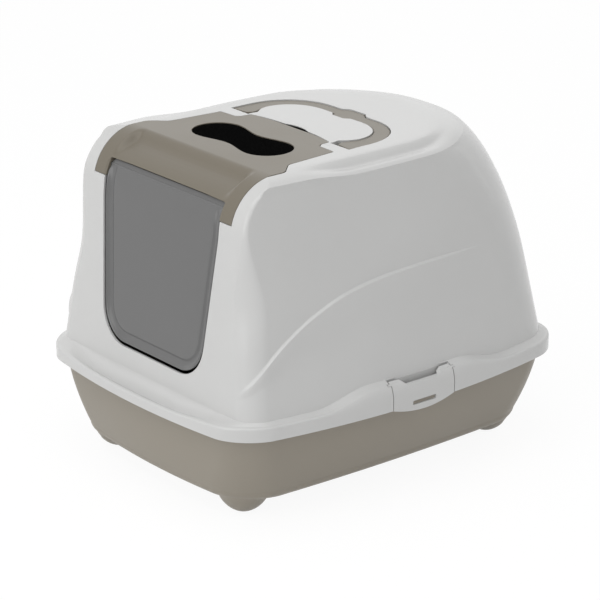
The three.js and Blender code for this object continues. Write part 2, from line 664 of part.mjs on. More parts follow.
function buildTray() {
  const base = (grow, z) => atHeight(trayBaseOutline(grow), z);
  const flangeBottom = FLANGE_TOP - FLANGE_THICK;
  const foot = base(10.5, TRAY_BOTTOM + TRAY_EDGE_ROUND * 1.1);
  const rim = atHeight(trayTopOutline(0), flangeBottom);
  const outer = [
    base(0, TRAY_BOTTOM),
    base(4.5, TRAY_BOTTOM + TRAY_EDGE_ROUND * 0.14),
    base(8, TRAY_BOTTOM + TRAY_EDGE_ROUND * 0.48),
    foot,
    swollen(foot, rim, 0.3),
    swollen(foot, rim, 0.65),
    rim,
    rimRing(FLANGE_INSET, RIM.map(() => flangeBottom)),
    rimRing(FLANGE_INSET, RIM.map(() => FLANGE_TOP)),
  ];
  const mouth = atHeight(trayTopOutline(TRAY_WALL), FLANGE_TOP);
  const heel = base(10.5 - TRAY_WALL, TRAY_BOTTOM + TRAY_EDGE_ROUND * 1.3);
  const inner = [
    mouth,
    swollen(heel, mouth, 0.65),
    swollen(heel, mouth, 0.3),
    heel,
    base(8 - TRAY_WALL * 1.4, TRAY_BOTTOM + TRAY_EDGE_ROUND * 0.72),
    base(-3, TRAY_BOTTOM + TRAY_WALL),
  ];
  let tray = loft([...outer, ...inner]);
  const inside = prismXY(trayBaseOutline(7), -5, TRAY_BOTTOM + 30);
  const insideDeep = prismXY(trayBaseOutline(3.5 - TRAY_WALL), -5, TRAY_BOTTOM + 30);
  const solid = footDome(0, TRAY_BOTTOM + 1.5);
  const hollow = footDome(TRAY_WALL, TRAY_BOTTOM + TRAY_WALL + 0.5);
  const spots = [[FOOT_X, FOOT_Y], [-FOOT_X, FOOT_Y], [FOOT_X, -FOOT_Y], [-FOOT_X, -FOOT_Y]];
  spots.forEach(([x, y]) => {
    tray = tray.add(solid.translate([x, y, 0]).intersect(inside));
  });
  spots.forEach(([x, y]) => {
    tray = tray.subtract(hollow.translate([x, y, 0]).intersect(insideDeep));
  });
  return tray;
}

// ---------------------------------------------------------------- latches
const latchBand = (half, x0, z0, z1) => block(x0, RIM_HALF_WIDTH + 5, LATCH_Y - half, LATCH_Y + half, z0, z1);
const LATCH_AXIS_X = RIM_HALF_WIDTH - LATCH_PIN_INSET;
const LATCH_AXIS_Z = LATCH_TOP - LATCH_PIN_DROP;
const POCKET_HALF = LATCH_HALF + GAP;
const POCKET_INSET = 12.5;
const RIB_INSET = 6.2;

function latchFace() {
  const points = [];
  for (let i = 0; i <= 10; i += 1) {
    const t = -1 + (2 * i) / 10;
    points.push([LATCH_Y + LATCH_HALF * t, RIM_BOTTOM - LATCH_DIP * (1 - t * t)]);
  }
  const ear = LATCH_HALF - LATCH_EAR;
  points.push([LATCH_Y + LATCH_HALF, LATCH_TOP + 5], [LATCH_Y + ear, LATCH_TOP + 5]);
  points.push([LATCH_Y + LATCH_NOTCH_HALF, LATCH_TOP - LATCH_NOTCH_DEPTH], [LATCH_Y - LATCH_NOTCH_HALF, LATCH_TOP - LATCH_NOTCH_DEPTH]);
  points.push([LATCH_Y - ear, LATCH_TOP + 5], [LATCH_Y - LATCH_HALF, LATCH_TOP + 5]);
  return prismYZ(points, RIM_HALF_WIDTH - 40, RIM_HALF_WIDTH + 5);
}

function buildLatch() {
  const reach = prismXY(rimOutline(LATCH_TURN), 0, TOTAL_HEIGHT);
  let latch = rimVolume(0).subtract(rimVolume(LATCH_WALL)).subtract(reach).intersect(latchFace());
  const slotZ = RIM_BOTTOM + 2.7;
  latch = latch.subtract(latchBand(LATCH_SLOT_HALF, LATCH_AXIS_X, slotZ - LATCH_SLOT_HEIGHT / 2, slotZ + LATCH_SLOT_HEIGHT / 2));
  const skinInside = rimVolume(LATCH_WALL / 2);
  [-1, 1].forEach((side) => {
    const inner = LATCH_Y + side * (LATCH_HALF - LATCH_LUG);
    const face = LATCH_Y + side * LATCH_HALF;
    const tip = LATCH_Y + side * (LATCH_HALF + LATCH_PIN_REACH);
    const lug = rodY(Math.min(inner, face), Math.max(inner, face), LATCH_AXIS_X, LATCH_AXIS_Z, LATCH_LUG_RADIUS);
    const web = block(LATCH_AXIS_X - 3, LATCH_AXIS_X + 6, Math.min(inner, face), Math.max(inner, face), LATCH_AXIS_Z, LATCH_AXIS_Z + 4);
    const pin = rodY(Math.min(inner, tip), Math.max(inner, tip), LATCH_AXIS_X, LATCH_AXIS_Z, LATCH_PIN_RADIUS);
    latch = latch.add(lug.add(web).intersect(skinInside)).add(pin);
    const barb0 = LATCH_Y + side * LATCH_BARB_NEAR;
    const barb1 = LATCH_Y + side * LATCH_BARB_FAR;
    const hook = block(RIM_HALF_WIDTH - FLANGE_INSET - 6, RIM_HALF_WIDTH, Math.min(barb0, barb1), Math.max(barb0, barb1), RIM_BOTTOM - LATCH_BARB_HALF, RIM_BOTTOM + LATCH_BARB_HALF);
    latch = latch.add(hook.intersect(skinInside).subtract(prismXY(rimOutline(FLANGE_INSET - SEAT_GAP), 0, TOTAL_HEIGHT)));
  });
  return latch;
}

// ---------------------------------------------------------------- hood
function doorway() {
  return frontSlab(doorPlan(0, 0, TOTAL_HEIGHT), -20, 45);
}

function lidSeat() {
  const deep = WALL + SEAT_GAP + 3;
  const ring = lidPrism(3.2).subtract(lidPrism(-7));
  const rim = lidPrism(3.2).subtract(lidPrism(GAP));
  const zone = block(-RIM_HALF_WIDTH, RIM_HALF_WIDTH, -RIM_HALF_LENGTH, LID_BACK - 4.4, ARM_BOTTOM - 8, TOTAL_HEIGHT);
  const foot = block(-RIM_HALF_WIDTH, RIM_HALF_WIDTH, -RIM_HALF_LENGTH, LID_BACK - 4.4, ARM_BOTTOM - 8, ARM_BOTTOM - GAP);
  const leg = sunk(WALL + SEAT_GAP).subtract(sunk(deep)).intersect(ring);
  const wall = sunk(1.5).subtract(sunk(deep)).intersect(rim);
  const base = sunk(1.5).subtract(sunk(deep)).intersect(ring).intersect(foot);
  return leg.add(wall).intersect(zone).add(base);
}

function buildHood() {
  const lidRegion = lidPrism(GAP).intersect(upFrom(ARM_BOTTOM - GAP));
  let hood = hoodShell.subtract(lidRegion);
  hood = hood.add(lidSeat());
  const ear = block(
    TONGUE_HALF - EAR_GAP,
    TONGUE_HALF + EAR_REACH,
    LID_BACK - 1,
    HANDLE_FRONT - 1.8,
    LID_AXIS_Z - LID_PIN_RADIUS - EAR_DEPTH - 0.4,
    TOTAL_HEIGHT,
  ).subtract(lidPrism(GAP));
  hood = hood.add(both(ear).intersect(sunk(0.8)));
  const troughOut = TROUGH_GAP + TROUGH_WALL;
  const troughLow = TROUGH_FLOOR - TROUGH_WALL;
  const troughHigh = TOTAL_HEIGHT - 3.4;
  const trough = handleSolid(troughOut, troughLow, troughHigh).add(handleEnd(troughOut, troughLow, troughHigh));
  hood = hood.add(trough.subtract(lidPrism(GAP)));
  hood = hood.subtract(handleSolid(TROUGH_GAP, TROUGH_FLOOR, TOTAL_HEIGHT + 10));
  hood = hood.subtract(handleEnd(TROUGH_GAP, TROUGH_FLOOR, TOTAL_HEIGHT + 10));
  const handleHole = rodX(HANDLE_HALF, HANDLE_PIN_END + PIN_GAP, HANDLE_AXIS_Y, HANDLE_AXIS_Z, HANDLE_PIN_RADIUS + PIN_GAP);
  const boss = block(HANDLE_HALF + TROUGH_GAP, HANDLE_PIN_END + 2.2, HANDLE_AXIS_Y - 4.5, HANDLE_AXIS_Y + 4.5, troughLow, troughHigh);
  hood = hood.add(both(boss)).subtract(both(handleHole));
  const lidHole = rodX(TONGUE_HALF - 6, LID_PIN_END + 0.8, LID_AXIS_Y, LID_AXIS_Z, LID_PIN_RADIUS + PIN_GAP);
  hood = hood.subtract(both(lidHole));
  const ribFoot = FLANGE_TOP + SEAT_GAP;
  const ringPrism = (inset, thick) => prismXY(rimOutline(inset), ribFoot, LATCH_TOP)
    .subtract(prismXY(rimOutline(inset + thick), 0, TOTAL_HEIGHT));
  const latchZone = block(
    -RIM_HALF_WIDTH,
    RIM_HALF_WIDTH,
    LATCH_Y - POCKET_HALF - LATCH_EAR,
    LATCH_Y + POCKET_HALF + LATCH_EAR,
    ribFoot,
    LATCH_TOP,
  );
  const rib = ringPrism(RIB_INSET, WALL).intersect(rimVolume(0.8));
  const back = ringPrism(POCKET_INSET, WALL).intersect(latchZone).intersect(rimVolume(0.8).add(sunk(0.8)));
  hood = hood.add(rib).add(back);
  const keep = prismXY(rimOutline(POCKET_INSET), 0, TOTAL_HEIGHT);
  const pocket = latchBand(POCKET_HALF, RIM_HALF_WIDTH - 30, 0, LATCH_TOP + 2).subtract(keep);
  hood = hood.subtract(both(pocket));
  [-1, 1].forEach((side) => {
    const near = LATCH_Y + side * POCKET_HALF;
    const far = LATCH_Y + side * (POCKET_HALF + LATCH_PIN_REACH + 0.2);
    const plate = block(RIM_HALF_WIDTH - 15, RIM_HALF_WIDTH, Math.min(near, far), Math.max(near, far), ribFoot, LATCH_TOP);
    hood = hood.add(both(plate.intersect(rimVolume(0.8))));
  });
  const latchHole = rodY(LATCH_Y - LATCH_HALF - LATCH_PIN_REACH - PIN_GAP, LATCH_Y + LATCH_HALF + LATCH_PIN_REACH + PIN_GAP, LATCH_AXIS_X, LATCH_AXIS_Z, LATCH_PIN_RADIUS + PIN_GAP);
  hood = hood.subtract(both(latchHole));
  return hood.subtract(doorway());
}

// ---------------------------------------------------------------- lid
function ventPlan(grow) {
  const right = [];
  const lobeX = SLOT_HALF - SLOT_LOBE;
  for (let i = 0; i <= 4; i += 1) {
    const x = (lobeX * i) / 4;
    right.push([x, SLOT_Y - mix(SLOT_WAIST, SLOT_LOBE, smooth(0, lobeX, x)) - grow]);
  }
  for (let i = 1; i <= 10; i += 1) {
    const t = -Math.PI / 2 + (Math.PI * i) / 10;
    right.push([lobeX + (SLOT_LOBE + grow) * Math.cos(t), SLOT_Y + (SLOT_LOBE + grow) * Math.sin(t)]);
  }
  for (let i = 3; i >= 0; i -= 1) {
    const x = (lobeX * i) / 4;
    right.push([x, SLOT_Y + mix(SLOT_WAIST, SLOT_LOBE, smooth(0, lobeX, x)) + grow]);
  }
  const left = right.slice(1, -1).reverse().map(([x, y]) => [-x, y]);
  return right.concat(left);
}

const PAD_HALF_X = SLOT_HALF + PAD_MARGIN;
const PAD_HALF_Y = SLOT_LOBE + PAD_MARGIN;
const PAD_TOP = LID_TOP - WALL - SEAT_GAP;
const HOLDER_HALF_X = PAD_HALF_X + SEAT_GAP + HOLDER_WALL;
const HOLDER_HALF_Y = PAD_HALF_Y + SEAT_GAP + HOLDER_WALL;
const HOLDER_BOTTOM = PAD_TOP - PAD_THICK - SEAT_GAP - HOLDER_FLOOR;

function buildLid() {
  const arms = block(-RIM_HALF_WIDTH, RIM_HALF_WIDTH, -RIM_HALF_LENGTH, TONGUE_BACK + 5, ARM_BOTTOM, LID_TOP + 0.05);
  const plan = bodyVolume.intersect(lidPrism(0)).intersect(arms);
  const frontBox = block(-ARM_INNER, ARM_INNER, -RIM_HALF_LENGTH, COVE_START, 0, TOTAL_HEIGHT + 5);
  let lid = plan.subtract(sunk(WALL)).subtract(frontBox);
  const cheekBand = block(ARM_INNER - CHEEK, ARM_INNER, -RIM_HALF_LENGTH, COVE_START + 4, ARM_BOTTOM, TOTAL_HEIGHT);
  const cheek = bodyVolume.intersect(cheekBand).subtract(sunk(9));
  lid = lid.add(both(cheek));
  const armLink = block(ARM_INNER - 1, ARM_INNER + 3, -RIM_HALF_LENGTH, COVE_START + 4, ARM_BOTTOM, TOTAL_HEIGHT);
  lid = lid.add(both(bodyVolume.intersect(armLink).subtract(sunk(WALL))));
  const coveZ = LID_TOP - COVE_DEPTH;
  const cove = [
    [COVE_START + 5, LID_TOP - WALL],
    [COVE_START + 5, LID_TOP - 1.2],
    [COVE_START, LID_TOP],
    [COVE_START - 4, LID_TOP - 1.6],
    [COVE_START - 9, LID_TOP - 5],
    [COVE_BOTTOM_Y, coveZ],
    [COVE_BOTTOM_Y - 4, coveZ - 1.9],
    [mix(COVE_BOTTOM_Y, LIP_Y, 0.6), mix(coveZ, LIP_Z, 0.66)],
    [LIP_Y, LIP_Z],
    [LIP_Y + 0.8, LIP_Z - WALL],
    [LIP_Y + 3, LIP_Z - WALL + 0.8],
    [mix(COVE_BOTTOM_Y, LIP_Y, 0.6) + 0.6, mix(coveZ, LIP_Z, 0.66) - WALL],
    [COVE_BOTTOM_Y - 3, coveZ - WALL - 2.2],
    [COVE_BOTTOM_Y + 1.5, coveZ - WALL],
    [COVE_START - 7, LID_TOP - WALL - 5],
  ].reverse();
  lid = lid.add(prismYZ(cove, -ARM_INNER, ARM_INNER));
  const ribRing = lidPrism(-7.6).subtract(lidPrism(-9.6));
  const ribZone = block(-RIM_HALF_WIDTH, RIM_HALF_WIDTH, COVE_START - 4, LID_BACK - 7.4, LID_TOP - 12, TOTAL_HEIGHT);
  lid = lid.add(sunk(1.2).subtract(sunk(9)).intersect(ribRing).intersect(ribZone));
  const knuckle = block(TONGUE_HALF - 9, TONGUE_HALF - 0.8, LID_AXIS_Y - 3.4, LID_AXIS_Y + 3.4, LID_AXIS_Z - 3.2, LID_TOP - 0.6);
  const pin = rodX(TONGUE_HALF - 6, LID_PIN_END, LID_AXIS_Y, LID_AXIS_Z, LID_PIN_RADIUS);
  lid = lid.add(both(knuckle)).add(both(pin));
  lid = lid.subtract(prismXY(ventPlan(0), LID_TOP - 10, LID_TOP + 10));
  const doorHole = rodX(ARM_INNER - CHEEK - 1, ARM_INNER + 0.6, DOOR_AXIS_Y, DOOR_AXIS_Z, DOOR_PIN_RADIUS + PIN_GAP);
  lid = lid.subtract(both(doorHole));
  const hookLow = HOLDER_BOTTOM - SEAT_GAP - 1.8;
  const hookOut = HOLDER_HALF_X + SEAT_GAP;
  const hookLeg = block(hookOut, hookOut + 2.2, SLOT_Y - 16, SLOT_Y + 16, hookLow, LID_TOP - 1.2);
  const hookToe = block(hookOut - 3.6, hookOut + 1, SLOT_Y - 16, SLOT_Y + 16, hookLow, hookLow + 1.8);
  return lid.add(both(hookLeg.add(hookToe)));
}

function buildPad() {
  return block(-PAD_HALF_X, PAD_HALF_X, SLOT_Y - PAD_HALF_Y, SLOT_Y + PAD_HALF_Y, PAD_TOP - PAD_THICK, PAD_TOP);
}

function buildHolder() {
  const frame = (grow, z0, z1) => block(
    -PAD_HALF_X - SEAT_GAP - grow,
    PAD_HALF_X + SEAT_GAP + grow,
    SLOT_Y - PAD_HALF_Y - SEAT_GAP - grow,
    SLOT_Y + PAD_HALF_Y + SEAT_GAP + grow,
    z0,
    z1,
  );
  const floorTop = HOLDER_BOTTOM + HOLDER_FLOOR;
  let holder = frame(HOLDER_WALL, HOLDER_BOTTOM, PAD_TOP).subtract(frame(0, floorTop, PAD_TOP + 5));
  const count = 8;
  const pitch = (2 * PAD_HALF_X - 8) / count;
  for (let i = 0; i < count; i += 1) {
    const x = -PAD_HALF_X + 4 + pitch * (i + 0.5);
    const cut = block(x - pitch * 0.33, x + pitch * 0.33, SLOT_Y - PAD_HALF_Y + 6, SLOT_Y + PAD_HALF_Y - 6, 0, TOTAL_HEIGHT);
    holder = holder.subtract(cut.subtract(block(-90, 90, SLOT_Y - 1.6, SLOT_Y + 1.6, 0, TOTAL_HEIGHT)));
  }
  return holder;
}

// ---------------------------------------------------------------- door
const DOOR_SET = 0.6;
const DOOR_AXIS_Y = bodyFront(DOOR_AXIS_Z) + DOOR_AXIS_BACK;
const DOOR_TOP = LIP_Z - WALL - 1;

function buildDoor() {
  const ring = (cut, top, depth) => {
    const plan = doorPlan(DOOR_GAP + cut, DOOR_BOTTOM_GAP + cut, top);
    return plan.map(([x, z]) => new THREE.Vector3(x, bodyFront(z, depth), z));
  };
  const back = DOOR_SET + DOOR_THICK;
  const inset = DOOR_BORDER + DOOR_DISH;
  const low = DOOR_TOP - inset - 2;
  const middle = (DOOR_SILL + DOOR_TOP) / 2;
  const centre = (depth) => new THREE.Vector3(0, bodyFront(middle, depth), middle);
  const panel = loft(
    [
      ring(inset, low, back + DOOR_DISH),
      ring(DOOR_BORDER, low + DOOR_DISH, back),
      ring(0, DOOR_TOP, back),
      ring(0, DOOR_TOP, DOOR_SET),
      ring(DOOR_BORDER, low + DOOR_DISH, DOOR_SET),
      ring(inset, low, DOOR_SET + DOOR_DISH),
    ],
    centre(back + DOOR_DISH),
    centre(DOOR_SET + DOOR_DISH),
  );
  const half = DOOR_TOP_HALF - DOOR_GAP;
  const barrel = rodX(-half, half, DOOR_AXIS_Y, DOOR_AXIS_Z, DOOR_ROD_RADIUS);
  const pins = rodX(-ARM_INNER + 0.3, ARM_INNER - 0.3, DOOR_AXIS_Y, DOOR_AXIS_Z, DOOR_PIN_RADIUS);
  return panel.add(barrel).add(pins);
}

// ---------------------------------------------------------------- handle
function buildHandle() {
  const rounded = rodX(-HANDLE_HALF - 5, HANDLE_HALF + 5, HANDLE_AXIS_Y, HANDLE_AXIS_Z, HANDLE_THICK / 2, 24);
  const behind = block(-RIM_HALF_WIDTH, RIM_HALF_WIDTH, HANDLE_AXIS_Y, RIM_HALF_LENGTH, 0, TOTAL_HEIGHT + 10);
  const bar = handleSolid(0, HANDLE_BOTTOM, HANDLE_TOP).intersect(rounded.add(behind));
  const pin = rodX(HANDLE_HALF - 4, HANDLE_PIN_END, HANDLE_AXIS_Y, HANDLE_AXIS_Z, HANDLE_PIN_RADIUS);
  return bar.add(both(pin));
}

// ---------------------------------------------------------------- assembly
const MATERIALS = {
  hood: { color: 0xd3d3d1, roughness: 0.42, metalness: 0 },
  taupe: { color: 0x9b978d, roughness: 0.48, metalness: 0 },
  smoke: { color: 0x7b7b79, roughness: 0.3, metalness: 0 },
  foam: { color: 0x161616, roughness: 0.95, metalness: 0 },
  dark: { color: 0x3a3a38, roughness: 0.6, metalness: 0 },
};

function toMesh(name, body, material) {
  const raw = body.getMesh();
  const geometry = new THREE.BufferGeometry();
  const count = raw.vertProperties.length / raw.numProp;
  const positions = new Float32Array(count * 3);
  for (let i = 0; i < count; i += 1) {
    for (let j = 0; j < 3; j += 1) positions[i * 3 + j] = raw.vertProperties[i * raw.numProp + j];
  }
  geometry.setAttribute('position', new THREE.BufferAttribute(positions, 3));
  geometry.setIndex(Array.from(raw.triVerts));
  geometry.computeVertexNormals();
  const mesh = new THREE.Mesh(geometry, new THREE.MeshStandardMaterial(MATERIALS[material]));
  mesh.name = name;
  return mesh;
}

const latchRight = buildLatch();
const litterBox = new THREE.Group();
litterBox.name = 'hooded_litter_box';
litterBox.add(toMesh('litter_tray', buildTray(), 'taupe'));
litterBox.add(toMesh('hood_shell', buildHood(), 'hood'));
litterBox.add(toMesh('flip_lid', buildLid(), 'taupe'));
litterBox.add(toMesh('door_flap', buildDoor(), 'smoke'));
litterBox.add(toMesh('filter_pad', buildPad(), 'foam'));
litterBox.add(toMesh('filter_holder', buildHolder(), 'dark'));
litterBox.add(toMesh('carry_handle', buildHandle(), 'taupe'));
litterBox.add(toMesh('latch_right', latchRight, 'hood'));
litterBox.add(toMesh('latch_left', mirrorX(latchRight), 'hood'));

export default litterBox;
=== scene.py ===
"""Looks for the hooded cat litter box. Millimetres in the shape code, metres in the scene."""

import math

import bpy
import numpy as np
from mathutils import Matrix, Vector


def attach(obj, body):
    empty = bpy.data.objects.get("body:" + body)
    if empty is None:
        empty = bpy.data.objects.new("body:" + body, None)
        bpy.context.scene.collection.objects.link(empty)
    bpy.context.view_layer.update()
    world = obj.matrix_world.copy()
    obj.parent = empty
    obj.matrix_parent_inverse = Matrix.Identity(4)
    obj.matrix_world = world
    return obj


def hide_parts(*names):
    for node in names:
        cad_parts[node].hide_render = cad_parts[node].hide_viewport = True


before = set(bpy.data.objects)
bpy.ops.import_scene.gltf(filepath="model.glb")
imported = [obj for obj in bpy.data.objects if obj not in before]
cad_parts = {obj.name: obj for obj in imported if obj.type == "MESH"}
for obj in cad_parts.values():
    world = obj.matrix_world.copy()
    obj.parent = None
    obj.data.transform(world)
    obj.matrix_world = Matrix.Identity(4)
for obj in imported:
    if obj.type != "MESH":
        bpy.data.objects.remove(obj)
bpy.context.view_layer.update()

MM = 0.001
FINE = 2

# ------------------------ sizes
# The hood's rim, and the ledge from its edge up to the hood's wall.
RIM_HALF_WIDTH = 196.0
RIM_HALF_LENGTH = 235.2
RIM_SIDE_BOW = 25.4
RIM_END_BOW = 15.2
RIM_CORNER = 41.6
RIM_BOTTOM = 102.8
LEDGE_END_RISE = 8.6
LEDGE_SIDE_RISE = 18.6
TOTAL_HEIGHT = 355.2
WALL = 2.6
GAP = 0.6
SEAT_GAP = 0.3

# The tray, with its flange under the rim and its round feet.
TRAY_WALL = 3.0
TRAY_INSET = 14.0
TRAY_BOTTOM = 22.0
BASE_HALF_WIDTH = 146.0
BASE_HALF_LENGTH = 200.0
FLANGE_INSET = 4.5
FLANGE_THICK = 3.0
FLANGE_TOP = RIM_BOTTOM + 5.2
FOOT_X = 110.0
FOOT_Y = 168.5
FOOT_RADIUS = 27.0

# The hood's body: a leaning front that rounds over into the top, and a rear that bends forward.
LID_TOP = TOTAL_HEIGHT - 0.2
RIDGE_Z = TOTAL_HEIGHT - 9.9
FRONT_LEAN = 0.1
FRONT_ROUND = 55.0
LEAN_NORM = math.hypot(1.0, FRONT_LEAN)
ARC_Z = LID_TOP - FRONT_ROUND
FRONT_FOOT = -(RIM_HALF_LENGTH - 28.0) - FRONT_LEAN * (RIM_BOTTOM + LEDGE_END_RISE)
ARC_Y = FRONT_FOOT + FRONT_LEAN * ARC_Z + FRONT_ROUND * LEAN_NORM
ARC_TANGENT_Z = ARC_Z + FRONT_ROUND * FRONT_LEAN / LEAN_NORM
BODY_HALF_WIDTH = RIM_HALF_WIDTH - 11.0
BODY_TOP_HALF_WIDTH = 143.5
BODY_REAR = RIM_HALF_LENGTH - 9.7
REAR_ROUND_DEPTH = 73.4
REAR_ROUND_START = 199.7
BODY_SIDE_Z = RIM_BOTTOM + LEDGE_SIDE_RISE

# The latches, in the middle of a swell of the rim on each side.
LATCH_Y = 1.5
LATCH_HALF = 41.8
LATCH_SWELL = 12.5
LATCH_TOP = BODY_SIDE_Z + LATCH_SWELL
LATCH_AXIS_X = RIM_HALF_WIDTH - 7.0
LATCH_AXIS_Z = LATCH_TOP - 5.0
LATCH_HINGE = (LATCH_AXIS_X, LATCH_AXIS_Z)
NOTCH_HALF = 31.0
RECESS_INSET = 12.5

# The lid, its arms beside the doorway, its tongue behind the vent, and the hinge lines.
DOOR_AXIS_Z = 324.0
LIP_Y = -177.6
LIP_Z = 332.0
ARM_BOTTOM = 313.2
ARM_INNER = 99.6
COVE_START = -134.0
LID_AXIS_Y = -27.0
LID_AXIS_Z = LID_TOP - 2.5
VENT_Y = -81.5
TONGUE_REAR = -19.1
TONGUE_BOW = 5.4
TONGUE_HALF = 66.0

# Reach of the cutting bodies, and how far parts added inside the hood stay under its skin.
ABOVE = 400.0
FRONT_END = -235.0
SIDE_SPAN = (-RIM_HALF_WIDTH, RIM_HALF_WIDTH)
SKIN = 0.8


# ------------------------ numbers
def smooth(a, b, x):
    """0 before a and 1 past b, with a soft rise between them."""
    t = np.clip((np.asarray(x, float) - a) / (b - a), 0.0, 1.0)
    return t * t * (3.0 - 2.0 * t)


def mix(a, b, t):
    return a + (b - a) * t


def curve(table, x):
    """Smooth reading of a short table of (position, value)."""
    xs = np.array([row[0] for row in table], float)
    ys = np.array([row[1] for row in table], float)
    slope = np.gradient(ys, xs)
    step = np.diff(ys)
    slope[:-1][step == 0] = 0.0
    slope[1:][step == 0] = 0.0
    x = np.clip(np.asarray(x, float), xs[0], xs[-1])
    i = np.clip(np.searchsorted(xs, x, side="right") - 1, 0, len(xs) - 2)
    h = xs[i + 1] - xs[i]
    t = (x - xs[i]) / h
    a = ys[i] * (2 * t**3 - 3 * t**2 + 1) + slope[i] * h * (t**3 - 2 * t**2 + t)
    return a + ys[i + 1] * (3 * t**2 - 2 * t**3) + slope[i + 1] * h * (t**3 - t**2)


# ------------------------ meshes
def add(name, data):
    """A new object in the scene, with the given data."""
    obj = bpy.data.objects.new(name, data)
    bpy.context.scene.collection.objects.link(obj)
    return obj


def discard(obj):
    mesh = obj.data
    bpy.data.objects.remove(obj)
    bpy.data.meshes.remove(mesh)


def make_object(name, points, faces):
    mesh = bpy.data.meshes.new(name)
    mesh.from_pydata((np.asarray(points, float) * MM).tolist(), [], faces)
    mesh.update()
    return add(name, mesh)


def loft(name, rings, first=None, last=None):
    """Closed body through equally long rings. Each end is a fan about the given point or its own middle."""
    rings = [np.asarray(r, float) for r in rings]
    n = len(rings[0])
    points = np.vstack(rings)
    centre0 = rings[0].mean(axis=0) if first is None else np.asarray(first, float)
    centre1 = rings[-1].mean(axis=0) if last is None else np.asarray(last, float)
    points = np.vstack([points, centre0, centre1])
    low, high = len(points) - 2, len(points) - 1
    sides = [(k, (k + 1) % n) for k in range(n)]
    faces = [(low, b, a) for a, b in sides]
    for base in range(0, (len(rings) - 1) * n, n):
        top = base + n
        faces += [(base + a, base + b, top + b, top + a) for a, b in sides]
    top = (len(rings) - 1) * n
    faces += [(high, top + a, top + b) for a, b in sides]
    return make_object(name, points, faces)


def span_between(name, near, far):
    """Straight body between two equally long rings, with one flat face at each end."""
    n = len(near)
    faces = [tuple(reversed(range(n))), tuple(range(n, 2 * n))]
    faces += [(k, (k + 1) % n, n + (k + 1) % n, n + k) for k in range(n)]
    return make_object(name, np.vstack([near, far]), faces)


def prism(name, outline, low, high, axis="z"):
    """Prism of a closed counterclockwise outline. Along z the outline is (x, y); along x it is (y, z)."""
    outline = np.asarray(outline, float)
    layers = []
    for level in (low, high):
        flat = np.full(len(outline), float(level))
        columns = [outline, flat] if axis == "z" else [flat, outline]
        layers.append(np.column_stack(columns))
    return span_between(name, *layers)


def block(name, x0, x1, y0, y1, z0, z1):
    return prism(name, [(x0, y0), (x1, y0), (x1, y1), (x0, y1)], z0, z1)


def rod(name, axis, a, b, centre, radius, sides=40):
    """Round bar from a to b. Along x its centre is (y, z); along y it is (x, z)."""
    t = np.arange(sides) * 2 * math.pi / sides
    circle = np.column_stack([np.cos(t), np.sin(t)]) * radius
    if axis == "x":
        return prism(name, circle + np.asarray(centre), a, b, axis="x")
    x, z = centre[0] + circle[:, 1], centre[1] + circle[:, 0]
    return span_between(name, *(np.column_stack([x, np.full(sides, y), z]) for y in (a, b)))


def combine(target, tool, operation):
    """Joins, cuts or keeps what two bodies share; the tool is used up."""
    modifier = target.modifiers.new("combine", "BOOLEAN")
    modifier.operation = operation
    modifier.solver = "MANIFOLD"
    modifier.object = tool
    graph = bpy.context.evaluated_depsgraph_get()
    mesh = bpy.data.meshes.new_from_object(target.evaluated_get(graph))
    target.modifiers.remove(modifier)
    old = target.data
    target.data = mesh
    bpy.data.meshes.remove(old)
    discard(tool)
    if not len(mesh.polygons):
        raise RuntimeError(target.name + " is empty after " + operation)
    return target


def cut(target, tool):
    return combine(target, tool, "DIFFERENCE")


def join(target, tool):
    return combine(target, tool, "UNION")


def keep(target, tool):
    return combine(target, tool, "INTERSECT")


def copy_of(obj, name, shift=(0, 0, 0), mirror=False):
    """A second body of the same shape, moved in millimetres, or mirrored across the middle plane."""
    twin = add(name, obj.data.copy())
    matrix = Matrix.Translation(Vector(shift) * MM)
    if mirror:
        matrix = matrix @ Matrix.Scale(-1, 4, (1, 0, 0))
    twin.data.transform(matrix)
    if mirror:
        twin.data.flip_normals()
    return twin


def set_in(body, depth):
    """The body moved back and down by the depth, which puts its front and top that far under the old ones."""
    return copy_of(body, "set_in", (0, depth, -depth))


def both(obj):
    """The body and its mirror image, as one."""
    return join(obj, copy_of(obj, obj.name + "_twin", mirror=True))


def rounded(corners, default=1.5):
    """Outline with each corner rounded; a corner is (x, y) or (x, y, radius)."""
    points = []
    n = len(corners)
    for i, corner in enumerate(corners):
        radius = corner[2] if len(corner) > 2 else default
        p = np.array(corner[:2], float)
        a = np.array(corners[i - 1][:2], float) - p
        b = np.array(corners[(i + 1) % n][:2], float) - p
        la, lb = np.linalg.norm(a), np.linalg.norm(b)
        a, b = a / la, b / lb
        turn = math.acos(float(np.clip(a @ b, -1, 1)))
        if radius <= 0 or turn > math.pi - 0.02:
            points.append(p)
            continue
        reach = min(radius / math.tan(turn / 2), 0.48 * la, 0.48 * lb)
        start, end = p + a * reach, p + b * reach
        for s in np.linspace(0, 1, 7):
            points.append((1 - s) ** 2 * start + 2 * s * (1 - s) * p + s**2 * end)
    return np.array(points)


def flipped(half):
    """The mirror image of half an outline, in the order that carries on from its end."""
    return [(-corner[0], *corner[1:]) for corner in reversed(half)]


# ------------------------ plan outlines
FRONT_STEPS = 10 * FINE
CORNER_STEPS = 12 * FINE
SIDE_STEPS = 60 * FINE
FRONT_EDGE, FRONT_CORNER, SIDE, REAR_CORNER, REAR_EDGE = range(5)


